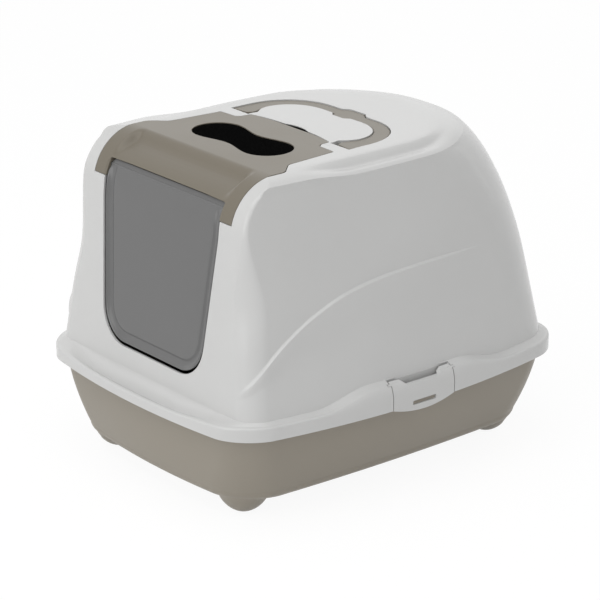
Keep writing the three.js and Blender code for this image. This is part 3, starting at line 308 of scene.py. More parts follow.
def layout():
    """The stretch that each vertex of the right half lies on, and where: a share, or an angle on a corner."""
    quarter = math.pi / 2
    rows = [(FRONT_EDGE, i / FRONT_STEPS) for i in range(FRONT_STEPS)]
    rows += [(FRONT_CORNER, -quarter + quarter * i / CORNER_STEPS) for i in range(CORNER_STEPS + 1)]
    rows += [(SIDE, i / SIDE_STEPS) for i in range(1, SIDE_STEPS)]
    rows += [(REAR_CORNER, quarter * i / CORNER_STEPS) for i in range(CORNER_STEPS + 1)]
    rows += [(REAR_EDGE, i / FRONT_STEPS) for i in range(1, FRONT_STEPS + 1)]
    return np.array([row[0] for row in rows]), np.array([row[1] for row in rows])


KIND, WHERE = layout()
HALF_COUNT = len(KIND)
RING = 2 * HALF_COUNT - 2
STRETCHES = [KIND == kind for kind in (FRONT_EDGE, FRONT_CORNER, SIDE, REAR_CORNER)]


def half_of(v):
    """A value per vertex for the right half, from a number or a full ring of values."""
    v = np.asarray(v, float)
    return v[:HALF_COUNT] if v.ndim else v


def outline(width, front, rear, front_corner, rear_corner, front_span, bows, kink=0.0):
    """Bowed rounded rectangle, counterclockwise from the front's middle. A kink moves the front corners."""
    width, front, rear = half_of(width), half_of(front), half_of(rear)
    fc, rc, front_span = half_of(front_corner), half_of(rear_corner), half_of(front_span)
    side_front, side_rear, end_front, end_rear = [half_of(b) for b in bows]
    cos, sin, flat = np.cos(WHERE), np.sin(WHERE), 0 * WHERE
    across = [(width - fc) * WHERE, width - fc + fc * cos, width + flat, width - rc + rc * cos]
    along = [front + flat, front + fc + fc * sin, mix(front + fc, rear - rc, WHERE), rear - rc + rc * sin]
    x = np.select(STRETCHES, across, (width - rc) * (1 - WHERE))
    y = np.select(STRETCHES, along, rear + flat)
    t = np.clip(1 + WHERE / (math.pi / 2), 0, 1)
    y = y + np.where(KIND == FRONT_CORNER, half_of(kink) * fc * 2 * t * (1 - t), 0.0)
    w = x / width
    span = np.where(y < 0, front_span, rear)
    side = np.where(y < 0, side_front, side_rear) * (y / span) ** 2 * w
    end = np.where(y < 0, -end_front * w * w * (y / front), end_rear * w * w * (y / rear))
    half = np.column_stack([x - side, y - end])
    other = half[1:-1][::-1] * [-1, 1]
    return np.vstack([half, other])


def even_outline(width, length, corner, side_bow, end_bow):
    """Outline with the same corners and bows at the front and at the rear."""
    bows = (side_bow, side_bow, end_bow, end_bow)
    return outline(width, -length, length, corner, corner, length, bows)


def rim_outline(inset):
    inset = np.asarray(inset, float)
    corner = RIM_CORNER - 0.6 * inset
    return even_outline(RIM_HALF_WIDTH - inset, RIM_HALF_LENGTH - inset, corner, RIM_SIDE_BOW, RIM_END_BOW)


def tray_base(grow):
    return even_outline(BASE_HALF_WIDTH + grow, BASE_HALF_LENGTH + grow, 45.0 + 0.5 * grow, 7.0, 11.6)


def tray_top(inset):
    off = TRAY_INSET + inset
    return even_outline(RIM_HALF_WIDTH - off, RIM_HALF_LENGTH - off, 32.3 - 0.6 * inset, 18.0, 12.6)


def body_front(z, inset=0.0):
    z = np.asarray(z, float)
    flat = FRONT_FOOT + FRONT_LEAN * z + inset * LEAN_NORM
    arc = ARC_Y - np.sqrt(np.maximum((FRONT_ROUND - inset) ** 2 - (z - ARC_Z) ** 2, 0))
    return np.where(z < ARC_TANGENT_Z, flat, arc)


def body_rear(z, inset=0.0):
    z = np.asarray(z, float)
    depth = REAR_ROUND_DEPTH - inset
    rise = TOTAL_HEIGHT - REAR_ROUND_START - inset
    level = np.clip((z - REAR_ROUND_START) / rise, 0, 1)
    bent = BODY_REAR - REAR_ROUND_DEPTH + depth * np.sqrt(1 - level**2)
    return np.where(z < REAR_ROUND_START, BODY_REAR - inset, bent)


def body_outline(z, inset=0.0, shrink=0.0):
    z = np.asarray(z, float)
    level = (z - BODY_SIDE_Z) / (RIDGE_Z - BODY_SIDE_Z)
    rise = np.clip(level, 0, 1)
    off = inset + shrink
    return outline(
        mix(BODY_HALF_WIDTH, BODY_TOP_HALF_WIDTH, level) - off,
        body_front(z, inset) + shrink,
        body_rear(z, inset) - shrink,
        np.maximum(mix(23.6, 4.0, smooth(225, 318, z)) - off, 2.4),
        np.maximum(mix(46.0, 130.0, rise) - off, 12.0),
        BODY_REAR - inset,
        (mix(22.5, 14.5, rise), mix(26.0, 16.5, rise), 0.0, mix(6.5, 6.2, rise)),
        0.26 * smooth(180, 230, z),
    )


def level_ring(plan, z):
    return np.column_stack([plan, np.full(len(plan), float(z))])


# ------------------------ hood
# SIDE_WEIGHT is 1 along the sides and less at the front and rear; SWELL is 1 at the latches.
RIM = rim_outline(0.0)
SIDE_WEIGHT = np.where(RIM[:, 1] < 0, 1.0, mix(0.75, 1.0, smooth(60, 172, abs(RIM[:, 0]))))
SIDE_WEIGHT = SIDE_WEIGHT * np.where(RIM[:, 1] < 0, smooth(60, 172, abs(RIM[:, 0])), 1.0)
SWELL = np.where(abs(RIM[:, 0]) > 98, 1 - smooth(60, 132, abs(RIM[:, 1] - LATCH_Y)), 0.0)
LEDGE_ROOT = RIM_BOTTOM + mix(LEDGE_END_RISE, LEDGE_SIDE_RISE, SIDE_WEIGHT) + LATCH_SWELL * SWELL
LEDGE_EDGE = RIM_BOTTOM + mix(11.2, 15.7, SIDE_WEIGHT) + (LATCH_SWELL - 1) * SWELL
EDGE_ROUND = 2.5 + 15.0 * SWELL
EDGE_DEPTH = 3.2 + 2.5 * SWELL
FOOT_RISE = 9.0 * (1 - SIDE_WEIGHT)
GUTTER_SHARE = 0.26


def wall_ring(heights, inset=0.0):
    return np.column_stack([body_outline(heights, inset), heights])


def rim_ring(inset, heights):
    heights = np.broadcast_to(np.asarray(heights, float), (RING,))
    return np.column_stack([rim_outline(inset), heights])


def ledge_rings(t):
    """From the rim's outer face over its rounded edge and in to the hood wall, t under the surface."""
    rings = []
    for s in np.linspace(0, 1, 3 + 3 * FINE):
        a = s * math.pi / 2
        inset = t + EDGE_DEPTH * (1 - math.cos(a))
        rings.append(rim_ring(inset, LEDGE_EDGE - t - EDGE_ROUND * (1 - math.sin(a))))
    edge, root = rings[-1], wall_ring(LEDGE_ROOT + FOOT_RISE - t, t)
    for s in (0.1, 0.2, 0.3, 0.4, 0.52, 0.64, 0.76, 0.86, 0.93, 0.97):
        ring = mix(edge, root, s)
        past = max(s - GUTTER_SHARE, 0) / (1 - GUTTER_SHARE)
        rise = 1 - math.sqrt(1 - past**2)
        gutter = mix(edge[:, 2], LEDGE_ROOT - t - 0.8, float(smooth(0, GUTTER_SHARE, s)))
        ring[:, 2] = mix(ring[:, 2], gutter + (root[:, 2] - gutter) * rise, 1 - SIDE_WEIGHT)
        rings.append(ring)
    rings.append(root)
    return rings


# How far the hood's top lies under its full height, by the distance in from the edge of the top:
# beside the lid, along the groove behind it, and at the rear.
BAND = [(0, 4.4), (8, 2.3), (17, 0.9), (25, 0.3), (33, 0.0), (60, 0.0)]
GROOVE = [(0, 9.9), (4, 8.3), (8, 7.7), (12, 7.7), (17, 6.9)]
GROOVE += [(21, 3.4), (25, 0.8), (29, 0.15), (33, 0.0), (60, 0.0)]
REAR = [(0, 9.9), (8, 5.6), (17, 3.0), (25, 1.3), (33, 0.4), (45, 0.0), (60, 0.0)]


def cap_height(y, d):
    """Height of the hood's top at y, where d is the distance in from its outer edge."""
    plateau = mix(LID_TOP, TOTAL_HEIGHT, smooth(TONGUE_REAR, -6, y))
    side = mix(curve(BAND, d), curve(GROOVE, d), smooth(-112, -40, y))
    drop = mix(side, curve(REAR, d), smooth(62, 118, y))
    drop = np.where(d >= 45, 0.0, drop)
    arc = ARC_Z + np.sqrt(np.maximum(FRONT_ROUND**2 - np.minimum(y - ARC_Y, 0) ** 2, 0))
    return np.minimum(plateau - drop, np.where(y < ARC_Y, arc, TOTAL_HEIGHT))


def cap_ring(d):
    plan = body_outline(RIDGE_Z, 0.0, d)
    return np.column_stack([plan, cap_height(plan[:, 1], d)])


# The swoosh down each side, as y and z, and the rear corner's crease, as z and y.
SWOOSH = [(-232, 144), (-202, 165.5), (-176, 187.5), (-144, 207), (-116, 219), (-87, 228.4)]
SWOOSH += [(-57, 234.4), (-27, 238.0), (10, 240.2), (60, 241.0), (130, 239.6)]
REAR_CREASE = [(270, 149), (280, 144), (292, 138), (314, 124), (334, 110), (350, 84)]
SWOOSH_LEVEL = 215.0
BEND_LOW, BEND_HIGH = 137, 300
MIDDLE = body_outline(200.0)
ALONG = MIDDLE[:, 1] - (np.abs(MIDDLE[:, 0]).max() - np.abs(MIDDLE[:, 0])) * (MIDDLE[:, 1] < 0)


def swoosh_lift(level):
    """How far the side wall stands out under the swoosh: a small step at its line, dying away downwards."""
    step = float(smooth(SWOOSH_LEVEL + 1.6, SWOOSH_LEVEL - 1.0, level))
    step *= 1 - float(smooth(SWOOSH_LEVEL - 4, SWOOSH_LEVEL - 44, level))
    return 2.7 * step * smooth(-240, -206, ALONG) * (1 - smooth(58, 132, ALONG))


def crease_drop(ring):
    """A soft step down the rear corner, from the end of the ridge to where it dies away."""
    y, z = ring[:, 1], ring[:, 2]
    past = y - curve(REAR_CREASE, z)
    return 1.1 * smooth(-1.6, 1.6, past) * (1 - smooth(4, 46, past)) * smooth(272, 300, z)


def body_surface():
    """Rings of the hood wall, bent so that one of them follows the swoosh, and rings of its top."""
    levels = np.concatenate([
        np.linspace(BEND_LOW, SWOOSH_LEVEL - 4, 20 * FINE),
        SWOOSH_LEVEL + np.array([-2.6, -1.6, -1.3, -1.0, -0.5, 0, 0.5, 1.0, 1.3, 1.6, 2.6]),
        np.linspace(SWOOSH_LEVEL + 4, BEND_HIGH, 12 * FINE),
        np.linspace(BEND_HIGH + 3, 343.4, 14 * FINE),
    ])
    insets = np.concatenate([[0, 0.6, 1.6], np.linspace(3, 48, 22 * FINE), np.linspace(54, 122, 10 * FINE)])
    line = curve(SWOOSH, ALONG)
    foot = LEDGE_ROOT + FOOT_RISE
    walls = []
    for level in levels:
        below = max((level - BEND_LOW) / (SWOOSH_LEVEL - BEND_LOW), 0)
        above = max((BEND_HIGH - level) / (BEND_HIGH - SWOOSH_LEVEL), 0)
        z = level + (line - SWOOSH_LEVEL) * min(below, above)
        z = mix(foot, z, float(smooth(BEND_LOW, 160, level))) if level < 160 else z
        z = np.maximum(z, foot + 0.02 * (level - 130))
        ring = wall_ring(z)
        ring[:, 0] += np.sign(ring[:, 0]) * (swoosh_lift(level) - crease_drop(ring))
        walls.append(ring)
    return walls, [cap_ring(d) for d in insets]


WALLS, CAPS = body_surface()
CAP_CENTRE = (0, 7, TOTAL_HEIGHT)


def rim_volume(name, t):
    """The solid block inside the hood's rim, t under its surface."""
    low = rim_ring(t, RIM_BOTTOM - 20)
    return loft(name, [low] + ledge_rings(t))


def lid_plan(g):
    """Outline of the lid seen from above, grown by g on every side but the front."""
    right = [
        (116.4 + g, -240.0, 0),
        (116.4 + g, -118.5 + g, 12),
        (99.6 + g, -101.5 + g, 12),
        (94.0 + g, -37.6 + g, 2.5),
        (70.5 + g, -36.6 + g, 3),
        (66.0 + g, -31.1 + g, 3),
        (65.0 + g, -19.6 + g, 3.5),
    ]
    right += [(x, tongue_rear(x) + g, 0) for x in np.linspace(58, 3, 6 * FINE)]
    return rounded(right + flipped(right))


def tongue_rear(x):
    """The rear edge of the lid's tongue bows back a little in its middle."""
    return TONGUE_REAR + TONGUE_BOW * (1 - (np.asarray(x, float) / TONGUE_HALF) ** 2)


def finger_gap(under=0.0):
    """The gap behind the tongue, widest off its middle where a finger lifts the lid, and widened by under."""
    half, middle, reach = 56.0, 4, 19
    xs = np.linspace(-half, half, 40 * FINE)
    near = [(x, float(tongue_rear(x)) - 1.0) for x in xs]
    edge = 0.9 * (1 - (xs / half) ** 6) + 3.6 * np.maximum(1 - ((xs - middle) / reach) ** 2, 0) + under
    far = [(x, float(tongue_rear(x)) + GAP + float(e)) for x, e in zip(xs[::-1], edge[::-1])]
    return np.array(near + far)


DOORWAY_HALF_LOW = 87.0
DOORWAY_HALF_HIGH = 98.5
DOORWAY_SILL = 141.2
DOORWAY_CORNER = 39.0
DOORWAY_FLARE_START = 176.0
DOORWAY_FLARE_RISE = 118.0


def door_half(z):
    """Half the doorway's width at a height; it widens upwards."""
    rise = np.clip((np.asarray(z, float) - DOORWAY_FLARE_START) / DOORWAY_FLARE_RISE, 0, 1)
    return mix(DOORWAY_HALF_LOW, DOORWAY_HALF_HIGH, rise)


def door_plan(side, bottom, top, top_corner=0.0):
    """Outline of the doorway in x and z, drawn in by side and bottom, counterclockwise from the front."""
    sill = DOORWAY_SILL + bottom
    radius = DOORWAY_CORNER - side
    right = []
    for a in np.linspace(-math.pi / 2, 0, 6 + 6 * FINE):
        z = sill + radius + radius * math.sin(a)
        right.append((float(door_half(z)) - side - radius + radius * math.cos(a), z))
    for z in np.linspace(sill + radius + 6, top - top_corner, 8 + 8 * FINE):
        right.append((float(door_half(z)) - side, z))
    if top_corner > 0:
        for a in np.linspace(0, math.pi / 2, 5 + 5 * FINE)[1:]:
            x = float(door_half(top)) - side - top_corner + top_corner * math.cos(a)
            right.append((x, top - top_corner + top_corner * math.sin(a)))
    return np.array(right + flipped(right))


def front_slab(name, plan, near, far):
    """Body with the outline of plan, parallel to the leaning front wall and as deep as near to far."""
    rings = []
    for depth in (far, near):
        y = FRONT_FOOT + FRONT_LEAN * plan[:, 1] + depth * LEAN_NORM
        rings.append(np.column_stack([plan[:, 0], y, plan[:, 1]]))
    return loft(name, rings)


def full_quarter(half, rear, reach_x, reach_y, steps):
    """A quarter turn, slightly squarer than an ellipse, from the side to the rear."""
    t = np.linspace(0, math.pi / 2, steps)
    c = np.maximum(np.cos(t), 0) ** 0.93
    s = np.sin(t) ** 0.93
    return list(zip(half - reach_x + reach_x * c, rear - reach_y + reach_y * s))


HANDLE_HALF = 97.5
HANDLE_FRONT = -19.67
HANDLE_REAR = 68.2
HANDLE_TOP = TOTAL_HEIGHT - 0.9
HANDLE_THICK = 6.5
HANDLE_BOTTOM = HANDLE_TOP - HANDLE_THICK
HANDLE_AXIS_Y = HANDLE_FRONT + HANDLE_THICK / 2
HANDLE_AXIS_Z = TOTAL_HEIGHT - 1.3 - HANDLE_THICK / 2
HANDLE_HINGE = (HANDLE_AXIS_Y, HANDLE_AXIS_Z)
TROUGH_FLOOR = HANDLE_BOTTOM - 1.2


def handle_outline(g, tuck=0.0):
    """Outline of the folded handle, grown by g. A tuck eases the inner corners at its two ends."""
    steps = 12 * FINE
    crisp = 3.0
    bend = full_quarter(HANDLE_HALF + g, HANDLE_REAR + g, 62 + g, 64 + g, steps)
    outer = [(HANDLE_HALF + g, HANDLE_FRONT - g, crisp)]
    outer += [(x, y, 0) for x, y in bend[:-1]]
    outer += [(19.0 + g, HANDLE_REAR + 0.4 + g, 8), (12.0 + g, HANDLE_REAR + 6.6 + g, 6)]
    half, rear = HANDLE_HALF - 20.0 - g, HANDLE_REAR - 15.5 - g
    inner = [(8.5 + g, rear - 5.6, 5), (14.5 + g, rear - 0.2, 6)]
    inner += [(x, y, 0) for x, y in full_quarter(half, rear, 48 - g, 42 - g, steps)[::-1][1:]]
    inner += [
        (half - 2.5, HANDLE_FRONT + 21, 12),
        (HANDLE_HALF - 30.0 - g + tuck, HANDLE_FRONT + 11, 5 + tuck),
        (HANDLE_HALF - 27.5 - g + 1.2 * tuck, HANDLE_FRONT + 1.5 - g + 0.4 * tuck, crisp + tuck),
    ]
    return rounded(outer + flipped(outer) + flipped(inner) + inner)


def handle_end(name, g, low, high):
    """Blocks about the two ends of the handle, grown by g, which give the ends room to turn."""
    near, far = HANDLE_FRONT - g, HANDLE_FRONT + HANDLE_THICK
    return both(block(name, HANDLE_HALF - 28 - g, HANDLE_HALF + g, near, far, low, high))


def ring_prism(name, inset, low, high):
    """Solid prism of the rim's outline, drawn in by inset."""
    return prism(name, rim_outline(inset), low, high)


def build_hood():
    """The hood as one closed shell with all that is moulded to it, and its plain outer body for the lid."""
    inner_walls = [level_ring(body_outline(z, WALL), z) for z in np.linspace(332, 145, 10 + 6 * FINE)]
    ceiling = [
        level_ring(body_outline(RIDGE_Z, WALL, 120), LID_TOP - WALL),
        level_ring(body_outline(RIDGE_Z, WALL, 34), LID_TOP - WALL - 0.6),
        level_ring(body_outline(RIDGE_Z, WALL, 18), RIDGE_Z - 1.4),
        level_ring(body_outline(RIDGE_Z - WALL - 1, WALL), RIDGE_Z - WALL - 1),
    ]
    skirt = [rim_ring(WALL, RIM_BOTTOM), rim_ring(0.6, RIM_BOTTOM), rim_ring(0.0, RIM_BOTTOM + 0.6)]
    rings = ceiling + inner_walls + ledge_rings(WALL)[::-1] + skirt + ledge_rings(0.0) + WALLS + CAPS
    hood = loft("hood", rings, (0, 7, LID_TOP - WALL), CAP_CENTRE)
    body = loft("body", [wall_ring(LEDGE_ROOT)] + WALLS + CAPS, None, CAP_CENTRE)
    cut(hood, prism("lid_gap", lid_plan(GAP), ARM_BOTTOM - GAP, ABOVE))
    cut(hood, prism("finger_gap", finger_gap(), ARM_BOTTOM - GAP, ABOVE))
    add_lid_seat(hood, body)
    add_handle_trough(hood, body)
    cut(hood, prism("finger_pocket", finger_gap(3.5), LID_TOP - WALL - 2.3, LID_TOP - 0.9))
    add_latch_seats(hood, body)
    cut(hood, front_slab("doorway", door_plan(0, 0, ABOVE), -25, 45))
    return hood, body


def add_lid_seat(hood, body):
    """The sunk seat that the lid lies on, the walls beside it, and the sills under its arms."""
    seat_depth = WALL + SEAT_GAP
    shells = []
    for grow, depth, high in ((-7, seat_depth, ABOVE), (GAP, 1.5, ABOVE), (-7, 1.5, ARM_BOTTOM - GAP)):
        zone = block("zone", *SIDE_SPAN, FRONT_END, -42, ARM_BOTTOM - 8, high)
        shell = prism("seat", lid_plan(3.2), 200, ABOVE)
        cut(shell, prism("inside", lid_plan(grow), 190, ABOVE + 10))
        keep(shell, set_in(body, depth))
        keep(shell, zone)
        shells.append(cut(shell, set_in(body, seat_depth + 3)))
    for shell in shells:
        join(hood, shell)


def add_handle_trough(hood, body):
    """The blocks of the lid's hinge, the trough of the handle, and the holes for the pins of both."""
    ear = both(block("ear", 64, 82, -38.6, HANDLE_FRONT - 1.8, LID_AXIS_Z - 8.5, ABOVE))
    cut(ear, prism("ear_gap", lid_plan(GAP), 200, ABOVE + 10))
    join(hood, keep(ear, set_in(body, SKIN)))
    low, high = TROUGH_FLOOR - 2.2, TOTAL_HEIGHT - 3.4
    trough = prism("trough", handle_outline(3.4), low, high)
    join(trough, handle_end("trough_end", 3.4, low, high))
    cut(trough, prism("trough_gap", lid_plan(GAP), 200, ABOVE + 10))
    join(hood, trough)
    cut(hood, prism("pocket", handle_outline(0.5), TROUGH_FLOOR, ABOVE))
    cut(hood, handle_end("pocket_end", 0.9, TROUGH_FLOOR, ABOVE))
    near, far = HANDLE_AXIS_Y - 4.5, HANDLE_AXIS_Y + 4.5
    join(hood, both(block("boss", HANDLE_HALF + 1.2, HANDLE_HALF + 5.4, near, far, low, high)))
    cut(hood, both(rod("pin_hole", "x", HANDLE_HALF, HANDLE_HALF + 3.5, HANDLE_HINGE, 2.1)))
    cut(hood, both(rod("lid_hole", "x", 60, 75, (LID_AXIS_Y, LID_AXIS_Z), 2.4)))


def add_latch_seats(hood, body):
    """The rib that rests on the tray's flange, and on each side the recess that a latch folds into."""
    foot = FLANGE_TOP + SEAT_GAP
    low, high = LATCH_Y - LATCH_HALF - GAP, LATCH_Y + LATCH_HALF + GAP

    def rib(inset):
        outer = ring_prism("rib", inset, foot, LATCH_TOP)
        return cut(outer, ring_prism("rib_in", inset + WALL, 90, 200))

    def walls(name, inset, levels):
        return loft(name, [level_ring(body_outline(z, inset), z) for z in levels])

    join(hood, keep(rib(6.2), rim_volume("under", SKIN)))
    rear = rib(RECESS_INSET)
    keep(rear, block("zone", *SIDE_SPAN, low - 12, high + 12, 90, 200))
    keep(rear, join(rim_volume("under", SKIN), set_in(body, SKIN)))
    join(hood, rear)
    room = block("latch_room", 166, 210, low, high, 80, LATCH_TOP + 2)
    cut(room, ring_prism("wall_in", RECESS_INSET, 70, 200))
    cut(hood, both(room))
    for y0, y1 in ((low - 3, low), (high, high + 3)):
        plate = block("plate", 181, RIM_HALF_WIDTH, y0, y1, foot, LATCH_TOP)
        join(hood, both(keep(plate, rim_volume("under", SKIN))))
    near, far = LATCH_Y - NOTCH_HALF, LATCH_Y + NOTCH_HALF
    shave = block("shave", 160, 210, near, far, LATCH_TOP - 2, LATCH_TOP + 4)
    cut(shave, walls("wall_line", -0.03, (BODY_SIDE_Z, 150)))
    cut(hood, both(shave))
    backing = walls("backing", 0.0, (foot + 6, BODY_SIDE_Z, LATCH_TOP + 5))
    cut(backing, walls("backing_in", 3.0, (90, BODY_SIDE_Z, 150)))
    join(hood, keep(backing, block("zone", *SIDE_SPAN, near, far, 90, 200)))
    cut(hood, both(rod("latch_hole", "y", LATCH_Y - 45.5, LATCH_Y + 45.5, LATCH_HINGE, 1.9)))


# ------------------------ lid
def lid_profile(x, s):
    """Outer line of the lid at one x: s from 0 to 1 runs over the top to the lip, up to 2 down the arms."""
    lip_angle = math.asin((LIP_Z - ARC_Z) / FRONT_ROUND)
    low_angle = math.asin((ARM_BOTTOM - 3 - ARC_Z) / FRONT_ROUND)
    a = np.where(s < 1, mix(math.pi / 2, lip_angle, s), mix(lip_angle, low_angle, s - 1))
    arc = np.column_stack([ARC_Y - FRONT_ROUND * np.cos(a), ARC_Z + FRONT_ROUND * np.sin(a)])
    steep = [(0.0, 0.0), (0.1, -0.25), (0.16, -1.2), (0.24, -3.8), (0.33, -8.0), (0.4, -10.3)]
    gentle = [(0.5, -12.2), (0.64, -14.4), (0.8, -17.4), (0.92, -20.4), (1.0, LIP_Z - LID_TOP)]
    cove_y = ARC_Y + (LIP_Y - ARC_Y) * np.minimum(s, 1)
    cove_z = LID_TOP + curve(steep + gentle, np.minimum(s, 1))
    w = (1 - smooth(88.5, 99.0, abs(x))) * (s < 1)
    return np.column_stack([mix(arc[:, 0], cove_y, w), mix(arc[:, 1], cove_z, w)])


def lid_sheet(name):
    """The lid's skin before it is cut out: one closed sheet, sampled across x."""
    s = np.concatenate([np.linspace(0, 1, 24 * FINE), np.linspace(1, 2, 10 * FINE)[1:]])
    edge = np.linspace(86, 101, 12 * FINE)
    xs = np.concatenate([np.linspace(0, 84, 6 * FINE), edge, np.linspace(104, 122, 4 * FINE)])
    xs = np.concatenate([-xs[::-1][:-1], xs])
    rings = []
    for x in xs:
        top = np.vstack([[(-15.0, LID_TOP)], lid_profile(x, s)])
        d = np.gradient(top, axis=0)
        d /= np.linalg.norm(d, axis=1)[:, None]
        d = np.vstack([d[:1], (d[:-2] + d[1:-1] + d[2:]) / 3, d[-1:]])
        d /= np.linalg.norm(d, axis=1)[:, None]
        inner = top + np.column_stack([-d[:, 1], d[:, 0]]) * WALL
        loop = np.vstack([top, inner[::-1]])
        rings.append(np.column_stack([np.full(len(loop), x), loop]))
    n = len(rings[0])
    points = np.vstack(rings)
    faces = []
    for base in range(0, (len(rings) - 1) * n, n):
        for k in range(n):
            m = (k + 1) % n
            faces.append((base + k, base + m, base + n + m, base + n + k))
    half = n // 2
    for base, turn in ((0, False), ((len(rings) - 1) * n, True)):
        for k in range(half - 1):
            quad = (base + k, base + n - 1 - k, base + n - 2 - k, base + k + 1)
            faces.append(tuple(reversed(quad)) if turn else quad)
    return make_object(name, points, faces)


def vent_plan(g):
    """Outline of the vent, grown by g: two round ends joined over a narrower waist."""
    centre, radius, waist = 41, 26.0, 18.6

    def waist_point(x, way):
        return (x, VENT_Y + way * mix(waist, radius, float(smooth(0, centre, x))) + way * g)

    right = [waist_point(x, -1) for x in np.linspace(0, centre, 8 * FINE)]
    for a in np.linspace(-math.pi / 2, math.pi / 2, 20 * FINE)[1:-1]:
        right.append((centre + (radius + g) * math.cos(a), VENT_Y + (radius + g) * math.sin(a)))
    right += [waist_point(x, 1) for x in np.linspace(centre, 0, 8 * FINE)]
    return np.array(right + flipped(right[1:-1]))


PAD_HALF_X = 67.0 + 5.5
PAD_HALF_Y = 26.0 + 5.5
PAD_THICK = 8.0
PAD_TOP = LID_TOP - WALL - SEAT_GAP
HOLDER_WALL = 1.6
HOLDER_FLOOR = 1.8
HOLDER_HALF_X = PAD_HALF_X + SEAT_GAP + HOLDER_WALL
HOLDER_BOTTOM = PAD_TOP - PAD_THICK - SEAT_GAP - HOLDER_FLOOR
DOOR_HINGE = (float(body_front(DOOR_AXIS_Z)) + 5.2, DOOR_AXIS_Z)
DOOR_TOP = LIP_Z - 2.4


def build_lid(body):
    """The skin, cut to its outline and joined with its cheeks, inner rib, hinge knuckles and pad hooks."""
    lid = lid_sheet("lid")
    keep(lid, prism("lid_edge", lid_plan(0.0), ARM_BOTTOM, LID_TOP + 1))
    right = [(ARM_INNER, 250, 0), (ARM_INNER, 325, 0), (ARM_INNER - 2, LIP_Z - 1.0, 8), (60, LIP_Z - 0.4, 0)]
    head = rounded(right + flipped(right))
    rings = [np.insert(head, 1, y, axis=1) for y in (LIP_Y + 3.2, -230.0)]
    cut(lid, loft("head", rings))
    inside = 9.0
    cheek = block("cheek", ARM_INNER - WALL, ARM_INNER, FRONT_END, COVE_START - 3, ARM_BOTTOM, ABOVE)
    keep(cheek, set_in(body, 0.2))
    cut(cheek, set_in(body, inside))
    cut(cheek, block("top", 90, 110, -190, -100, LIP_Z - 1, ABOVE))
    join(lid, both(cheek))
    link = block("link", ARM_INNER - 1, ARM_INNER + 3, FRONT_END, COVE_START - 3, ARM_BOTTOM, LIP_Z)
    keep(link, set_in(body, 0.05))
    cut(link, set_in(body, WALL))
    join(lid, both(link))
    rib = cut(prism("rib", lid_plan(-7.6), 200, ABOVE), prism("rib_in", lid_plan(-9.6), 190, ABOVE + 10))
    keep(rib, set_in(body, 1.2))
    keep(rib, block("zone", *SIDE_SPAN, COVE_START - 2, -45, LID_TOP - 12, ABOVE))
    cut(rib, set_in(body, inside))
    join(lid, rib)
    near, far = LID_AXIS_Y - 3.4, LID_AXIS_Y + 3.4
    join(lid, both(block("knuckle", 57, 65.2, near, far, LID_AXIS_Z - 3.2, LID_TOP - 0.6)))
    join(lid, both(rod("pin", "x", 60, 74.2, (LID_AXIS_Y, LID_AXIS_Z), 2.1)))
    cut(lid, prism("vent", vent_plan(1.8), LID_TOP - 10, LID_TOP + 10))
    cut(lid, both(rod("door_hole", "x", 96, 100.2, DOOR_HINGE, 2.2)))
    out = HOLDER_HALF_X + SEAT_GAP
    low = HOLDER_BOTTOM - 2.1
    near, far = VENT_Y - 16, VENT_Y + 16
    join(lid, both(block("hook", out, out + 2.2, near, far, low, LID_TOP - 1.2)))
    join(lid, both(block("toe", out - 3.6, out + 1, near, far, low, low + 1.8)))
    return lid


# ------------------------ door
DOOR_SIDE_GAP = 2.2
DOOR_BOTTOM_GAP = 3.3
DOOR_FACE = 1.2
DOOR_BACK = 3.8
DOOR_MIDDLE = 235.0
DISH_DEPTH = 2.2


def door_side(depth, steps):
    """Rings of one side of the door, from its edge over the border and the groove in to the flat panel."""
    panel = depth + DISH_DEPTH
    rings = []
    for i, sunk in steps:
        top = DOOR_TOP - min(i, 1.0) - i * 0.1
        plan = door_plan(DOOR_SIDE_GAP + i, DOOR_BOTTOM_GAP + i, top, 5.0)
        deep = mix(depth + sunk, panel, smooth(DOOR_TOP - 14, DOOR_TOP - 5, plan[:, 1]))
        rings.append(np.column_stack([plan[:, 0], body_front(plan[:, 1], deep), plan[:, 1]]))
    rim = rings[-1]
    for s in (0.97, 0.9, 0.8, 0.66, 0.5, 0.33, 0.16):
        x, z = rim[:, 0] * s, DOOR_MIDDLE + (rim[:, 2] - DOOR_MIDDLE) * s
        rings.append(np.column_stack([x, body_front(z, panel), z]))
    return rings, (0, float(body_front(DOOR_MIDDLE, panel)), DOOR_MIDDLE)


def build_door():
    """Panel with a raised border round a shallow dish, its thin hinge barrel, and a pin at each end."""
    steps = [(0.0, 0.9), (0.25, 0.35), (0.6, 0.07), (1.0, 0.0), (1.5, 0.15), (2.2, 0.8), (3.2, 1.9)]
    steps += [(4.6, 3.1), (6.4, 3.7), (8.6, 3.8), (9.8, 3.4), (10.6, 2.75), (11.3, 2.35), (12.2, 2.2)]
    front_rings, front_centre = door_side(DOOR_FACE, steps)
    rear_rings, rear_centre = door_side(DOOR_BACK, steps[2:])
    door = loft("door", rear_rings[::-1] + front_rings, rear_centre, front_centre)
    half = DOORWAY_HALF_HIGH - DOOR_SIDE_GAP
    join(door, rod("barrel", "x", -half, half, DOOR_HINGE, 1.7))
    join(door, rod("pins", "x", -ARM_INNER + SEAT_GAP, ARM_INNER - SEAT_GAP, DOOR_HINGE, 1.6))
    return door


# ------------------------ tray
def foot_drop(plan):
    """How far the tray's floor sinks into its feet under each point of a plan."""
    reach = np.hypot(abs(plan[:, 0]) - FOOT_X, abs(plan[:, 1]) - FOOT_Y) / FOOT_RADIUS
    return TRAY_BOTTOM * (1 - np.minimum(reach, 1) ** 2) ** 0.75


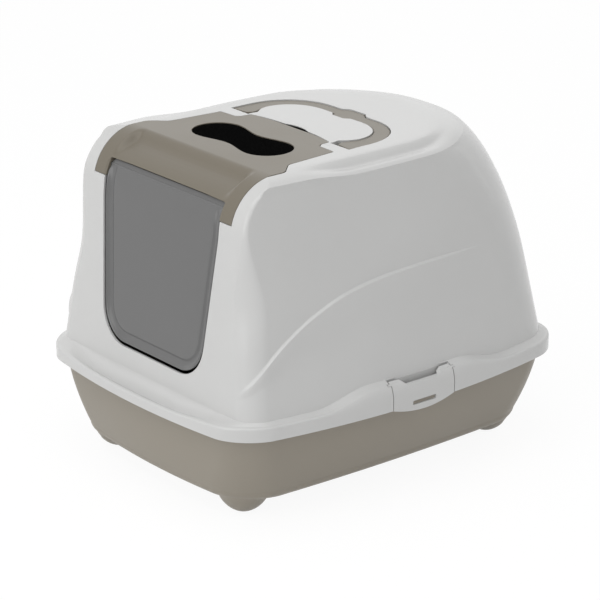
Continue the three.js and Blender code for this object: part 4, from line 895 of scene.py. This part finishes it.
def build_tray():
    """One moulding: floor sunk into four round feet, slightly swelling walls, and a flange at the top."""

    def base(grow, z, share=1.0):
        plan = tray_base(float(grow))
        return np.column_stack([plan, z - share * foot_drop(plan)])

    def wall(low, high, share, foot=0.0):
        ring = mix(low, high, share)
        far = np.hypot(ring[:, 0], ring[:, 1])[:, None]
        ring[:, :2] *= 1 + 12.0 * share * (1 - share) / far
        ring[:, 2] -= foot * foot_drop(ring[:, :2]) * (1 - smooth(0, 0.35, share))
        return ring

    flange_low = FLANGE_TOP - FLANGE_THICK
    outer = [base(g, TRAY_BOTTOM) for g in np.linspace(-60, 0, 14 * FINE)]
    for a in np.linspace(0, math.pi / 2, 5 * FINE)[1:]:
        outer.append(base(10 * math.sin(a), TRAY_BOTTOM + 10 * (1 - math.cos(a)), 0.9))
    foot = level_ring(tray_base(10.5), TRAY_BOTTOM + 11)
    rim = level_ring(tray_top(0.0), flange_low)
    outer += [wall(foot, rim, t, 0.9) for t in np.linspace(0, 1, 12 * FINE)]
    outer += [
        rim_ring(FLANGE_INSET + 0.5, flange_low),
        rim_ring(FLANGE_INSET, flange_low + 0.5),
        rim_ring(FLANGE_INSET, FLANGE_TOP - 0.6),
        rim_ring(FLANGE_INSET + 0.6, FLANGE_TOP),
        level_ring(tray_top(TRAY_WALL - 0.7), FLANGE_TOP),
    ]
    mouth = level_ring(tray_top(TRAY_WALL), FLANGE_TOP - 0.7)
    heel = level_ring(tray_base(7.5), TRAY_BOTTOM + 13)
    inner = [wall(heel, mouth, t) for t in np.linspace(1, 0, 8 * FINE)]
    for a in np.linspace(0, math.pi / 2, 4 * FINE)[1:]:
        inner.append(level_ring(tray_base(-3.0 + 10.5 * math.cos(a)), TRAY_BOTTOM + 13 - 10 * math.sin(a)))
    for g in np.linspace(-6, -60, 14 * FINE):
        inner.append(base(g, TRAY_BOTTOM + TRAY_WALL, float(smooth(-5, -14, g))))
    return loft("tray", outer + inner)


# ------------------------ latch
def build_latch():
    """The right latch: a slotted piece of the rim's skin with two lugs and pins above and two barbs below."""
    arc = [(LATCH_Y + LATCH_HALF * t, RIM_BOTTOM - 6.4 * (1 - t * t), 0) for t in np.linspace(-1, 1, 41)]
    rear = [(LATCH_HALF, 5, 0), (29.8, 5, 0), (29.8, -0.6, 3), (22, -7, 3)]
    upper = [(LATCH_Y + y, LATCH_TOP + rise, radius) for y, rise, radius in rear + flipped(rear)]
    face = rounded(arc + upper, 1.0)
    face[:, 0] = LATCH_Y + (face[:, 0] - LATCH_Y) * (1 - 0.45 / LATCH_HALF)
    latch = rim_volume("latch", 0.0)
    keep(latch, prism("face", face, 156, 205, axis="x"))
    cut(latch, ring_prism("reach", 9.8, 60, 200))
    cut(latch, rim_volume("inside", 2.4))
    half, low, high = 15.8, 103.2, 107.8
    ends = [(-half, low), (half, low), (half, high), (-half, high)]
    slot = rounded([(LATCH_Y + y, z, 1.6) for y, z in ends])
    cut(latch, prism("slot", slot, 185, 205, axis="x"))
    lug_skin = 1.2
    for side in (-1, 1):

        def stretch(inner, outer):
            return sorted((LATCH_Y + side * inner, LATCH_Y + side * outer))

        a, b = stretch(LATCH_HALF - 5.8, LATCH_HALF)
        lug = rod("lug", "y", a, b, LATCH_HINGE, 3.4)
        join(lug, block("web", LATCH_AXIS_X - 3, LATCH_AXIS_X + 6, a, b, LATCH_AXIS_Z, LATCH_AXIS_Z + 4))
        join(latch, keep(lug, rim_volume("skin", lug_skin)))
        join(latch, rod("pin", "y", *stretch(LATCH_HALF - 5.8, LATCH_HALF + 3.4), LATCH_HINGE, 1.6))
        hook = block("hook", 185, RIM_HALF_WIDTH, *stretch(18.5, 35), RIM_BOTTOM - 1.6, RIM_BOTTOM + 1.6)
        keep(hook, rim_volume("skin", lug_skin))
        join(latch, cut(hook, ring_prism("edge", 4.2, 60, 200)))
    return latch


# ------------------------ handle, pad, holder
def build_handle():
    """The bar with softly rounded upper and lower edges, its ends rounded about the hinge line."""

    def layer(inset, trim):
        plan = handle_outline(-inset, tuck=4.0)
        return prism("layer", plan, HANDLE_BOTTOM + trim, HANDLE_TOP - trim)

    bar = join(join(layer(0.0, 1.0), layer(0.35, 0.4)), layer(1.0, 0.0))
    round_end = rod("end", "x", -105, 105, HANDLE_HINGE, HANDLE_TOP - HANDLE_AXIS_Z, 64)
    join(round_end, block("behind", -110, 110, HANDLE_AXIS_Y, 90, 300, ABOVE))
    keep(bar, round_end)
    join(bar, both(rod("pin", "x", HANDLE_HALF - 4, HANDLE_HALF + 3.2, HANDLE_HINGE, 1.8)))
    return bar


def pad_block(name, g, low, high):
    """Block with the outline of the pad, grown by g."""
    x, y = PAD_HALF_X + g, PAD_HALF_Y + g
    return block(name, -x, x, VENT_Y - y, VENT_Y + y, low, high)


def build_pad():
    """Foam pad pressed up against the lid, so that it swells a little into the vent."""
    pad = pad_block("pad", 0.0, PAD_TOP - PAD_THICK, PAD_TOP)
    crown = [level_ring(vent_plan(1.5), PAD_TOP - 1)]
    for a in np.linspace(0.3, math.pi / 2, 2 + 3 * FINE):
        rise = 2.0 * math.cos(a - math.pi / 2) ** 0.5
        crown.append(level_ring(vent_plan(1.5 - 5 * (1 - math.sin(a))), PAD_TOP + rise))
    return join(pad, loft("crown", crown))


def build_holder():
    """Open cassette about the pad, with a grille of two rows of slots in its floor."""
    holder = pad_block("holder", SEAT_GAP + HOLDER_WALL, HOLDER_BOTTOM, PAD_TOP)
    cut(holder, pad_block("room", SEAT_GAP, HOLDER_BOTTOM + HOLDER_FLOOR, PAD_TOP + 5))
    slots, end, margin, bar = 8, 4, 6, 1.6
    pitch = 2 * (PAD_HALF_X - end) / slots
    for i in range(slots):
        x = -PAD_HALF_X + end + pitch * (i + 0.5)
        for y0, y1 in ((margin - PAD_HALF_Y, -bar), (bar, PAD_HALF_Y - margin)):
            x0, x1 = x - pitch * 0.33, x + pitch * 0.33
            cut(holder, block("grille", x0, x1, VENT_Y + y0, VENT_Y + y1, 300, ABOVE))
    return holder


# ------------------------ materials
def node(tree, kind, inputs=(), **settings):
    """A new node with the given inputs and settings; an input that is a socket is linked."""
    made = tree.nodes.new(kind)
    for key, value in settings.items():
        setattr(made, key, value)
    for key, value in dict(inputs).items():
        if isinstance(value, bpy.types.NodeSocket):
            tree.links.new(value, made.inputs[key])
        else:
            made.inputs[key].default_value = value
    return made


def new_tree(owner):
    owner.use_nodes = True
    owner.node_tree.nodes.clear()
    return owner.node_tree


def moulded(name, colour, roughness, grain=0.02, edge=0.0006, specular=0.5):
    """Injection-moulded plastic: a fine grain, faint cloudiness in colour and gloss, and softened edges."""
    material = bpy.data.materials.new(name)
    tree = new_tree(material)
    place = node(tree, "ShaderNodeTexCoord").outputs["Object"]
    cloud = node(tree, "ShaderNodeTexNoise", {"Scale": 9.0, "Detail": 3.0, "Vector": place}).outputs["Fac"]
    patch = 0.036
    dark = tuple(c * (1 - patch) for c in colour)
    light = tuple(min(1.0, c * (1 + patch)) for c in colour)
    tint = node(tree, "ShaderNodeMix", {0: cloud, 6: dark + (1.0,), 7: light + (1.0,)}, data_type="RGBA")
    spread = {"From Min": 0.3, "From Max": 0.7, "To Min": roughness - 0.03, "To Max": roughness + 0.03}
    gloss = node(tree, "ShaderNodeMapRange", {**spread, "Value": cloud})
    fine = node(tree, "ShaderNodeTexNoise", {"Scale": 900.0, "Detail": 2.0, "Vector": place})
    bevel = node(tree, "ShaderNodeBevel", {"Radius": edge}, samples=4)
    relief = {"Height": fine.outputs["Fac"], "Normal": bevel.outputs[0]}
    bump = node(tree, "ShaderNodeBump", {**relief, "Strength": grain, "Distance": 0.0003})
    look = {"Base Color": tint.outputs[2], "Roughness": gloss.outputs[0], "Normal": bump.outputs[0]}
    shader = node(tree, "ShaderNodeBsdfPrincipled", {**look, "Specular IOR Level": specular})
    node(tree, "ShaderNodeOutputMaterial", {"Surface": shader.outputs[0]})
    return material


def foam(name):
    """Black open-cell foam: dark cells with a slightly paler edge, and no gloss."""
    material = bpy.data.materials.new(name)
    tree = new_tree(material)
    place = node(tree, "ShaderNodeTexCoord").outputs["Object"]
    cells = node(tree, "ShaderNodeTexVoronoi", {"Scale": 620.0, "Vector": place}).outputs["Distance"]
    shade = node(tree, "ShaderNodeValToRGB", {0: cells})
    ends = shade.color_ramp.elements
    ends[0].color = (0.0008, 0.0008, 0.0008, 1)
    ends[1].color = (0.006, 0.006, 0.006, 1)
    ends[1].position = 0.7
    bump = node(tree, "ShaderNodeBump", {"Strength": 0.8, "Distance": 0.001, "Height": cells})
    look = {"Base Color": shade.outputs[0], "Normal": bump.outputs[0], "Roughness": 0.95}
    shader = node(tree, "ShaderNodeBsdfPrincipled", {**look, "Specular IOR Level": 0.0, "IOR": 1.02})
    node(tree, "ShaderNodeOutputMaterial", {"Surface": shader.outputs[0]})
    return material


def srgb(*levels):
    """Linear colour of three display levels from 0 to 255."""
    shares = [level / 255.0 for level in levels]
    return tuple(v / 12.92 if v <= 0.04045 else ((v + 0.055) / 1.055) ** 2.4 for v in shares)


PALE = moulded("pale_plastic", srgb(212, 212, 211), 0.22)
TAUPE_TRAY = moulded("tray_plastic", srgb(153, 146, 134), 0.48, grain=0.05)
TAUPE = moulded("taupe_plastic", srgb(121, 114, 101), 0.34, specular=0.38)
SMOKE = moulded("smoke_plastic", srgb(108, 108, 108), 0.24, edge=0.0005)
DARK = moulded("dark_plastic", srgb(50, 50, 48), 0.5)
FOAM = foam("filter_foam")
SHARP_ANGLE = math.radians(32.0)


def finish_piece(obj, name, material, body, cad_node):
    """Names a piece, gives it its material and smooth shading, and hands it to its body."""
    obj.name = name
    obj.data.name = name
    obj.data.materials.clear()
    obj.data.materials.append(material)
    for polygon in obj.data.polygons:
        polygon.use_smooth = True
        polygon.material_index = 0
    obj.data.set_sharp_from_angle(angle=SHARP_ANGLE)
    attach(obj, body)
    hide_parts(cad_node)
    return obj


hood, body = build_hood()
lid = build_lid(body)
latch = build_latch()
twin = copy_of(latch, "latch_twin", mirror=True)
finish_piece(hood, "hood_look", PALE, "hood", "hood_shell")
finish_piece(lid, "lid_look", TAUPE, "lid", "flip_lid")
finish_piece(build_tray(), "tray_look", TAUPE_TRAY, "tray", "litter_tray")
finish_piece(build_door(), "door_look", SMOKE, "door", "door_flap")
finish_piece(latch, "latch_right_look", PALE, "latch_right", "latch_right")
finish_piece(twin, "latch_left_look", PALE, "latch_left", "latch_left")
finish_piece(build_handle(), "handle_look", TAUPE, "handle", "carry_handle")
pad = finish_piece(build_pad(), "pad_look", FOAM, "lid", "filter_pad")
finish_piece(build_holder(), "holder_look", DARK, "lid", "filter_holder")
discard(body)


# ------------------------ camera, light, floor
AZIMUTH, ELEVATION = math.radians(50.958), math.radians(20.329)
LEVEL = math.cos(ELEVATION)
back = Vector((math.sin(AZIMUTH) * LEVEL, -math.cos(AZIMUTH) * LEVEL, math.sin(ELEVATION)))
right = Vector((math.cos(AZIMUTH), math.sin(AZIMUTH), 0))
up = back.cross(right)
target = Vector((0, 0, 186)) + right * -3.865 + up * -25.648
CAMERA_DISTANCE = 2837.357
eye = target + back * CAMERA_DISTANCE
camera_data = bpy.data.cameras.new("camera")
camera_data.sensor_width = 36.0
camera_data.lens = 158.85
camera = add("camera", camera_data)
turn = Matrix((right, up, back)).transposed().to_4x4()
camera.matrix_world = Matrix.Translation(eye * MM) @ turn
bpy.context.scene.camera = camera


LAMP_AIM = Vector((0, 0, 0.18))


def area_light(name, place, size, power):
    """Soft lamp with a rectangular face, turned to the middle of the box."""
    data = bpy.data.lights.new(name, "AREA")
    data.shape = "RECTANGLE"
    data.size, data.size_y = size
    data.energy = power
    lamp = add(name, data)
    lamp.location = place
    lamp.rotation_euler = (Vector(place) - LAMP_AIM).to_track_quat("Z", "Y").to_euler()


area_light("key", (0.3, -2.8, 1.2), (2.0, 2.0), 19)
area_light("top", (0.15, -0.7, 2.5), (2.2, 2.2), 20)
area_light("rear", (-1.9, 1.8, 1.4), (2.2, 1.6), 3)


def seen_directly(tree):
    """1 for camera, glossy and transmission rays, and 0 for the rays that light the object."""
    rays = node(tree, "ShaderNodeLightPath").outputs
    seen = {0: rays["Is Camera Ray"], 1: rays["Is Glossy Ray"]}
    first = node(tree, "ShaderNodeMath", seen, operation="MAXIMUM")
    both_kinds = {0: first.outputs[0], 1: rays["Is Transmission Ray"]}
    return node(tree, "ShaderNodeMath", both_kinds, operation="MAXIMUM").outputs[0]


def mix_shaders(tree, share, first, second):
    return node(tree, "ShaderNodeMixShader", {0: share, 1: first.outputs[0], 2: second.outputs[0]})


FLOOR_HALF = 8000
FLOOR_Z = -0.2
corners = [(x * FLOOR_HALF, y * FLOOR_HALF, FLOOR_Z) for x, y in ((-1, -1), (1, -1), (1, 1), (-1, 1))]
floor = make_object("floor", corners, [(0, 1, 2, 3)])
paper = bpy.data.materials.new("floor_white")
tree = new_tree(paper)
diffuse = node(tree, "ShaderNodeBsdfDiffuse", {"Color": (0.95, 0.95, 0.95, 1)})
glow = node(tree, "ShaderNodeEmission", {"Color": (1, 1, 1, 1), "Strength": 1.03})
shadowed = mix_shaders(tree, 0.9, diffuse, glow)
surface = mix_shaders(tree, seen_directly(tree), diffuse, shadowed)
node(tree, "ShaderNodeOutputMaterial", {"Surface": surface.outputs[0]})
floor.data.materials.append(paper)

world = bpy.data.worlds.new("world")
bpy.context.scene.world = world
tree = new_tree(world)
sky = node(tree, "ShaderNodeBackground", {"Color": (1, 1, 1, 1), "Strength": 0.5})
white = node(tree, "ShaderNodeBackground", {"Color": (1, 1, 1, 1), "Strength": 1.0})
surface = mix_shaders(tree, seen_directly(tree), sky, white)
node(tree, "ShaderNodeOutputWorld", {"Surface": surface.outputs[0]})

bpy.context.scene.view_settings.view_transform = "Standard"
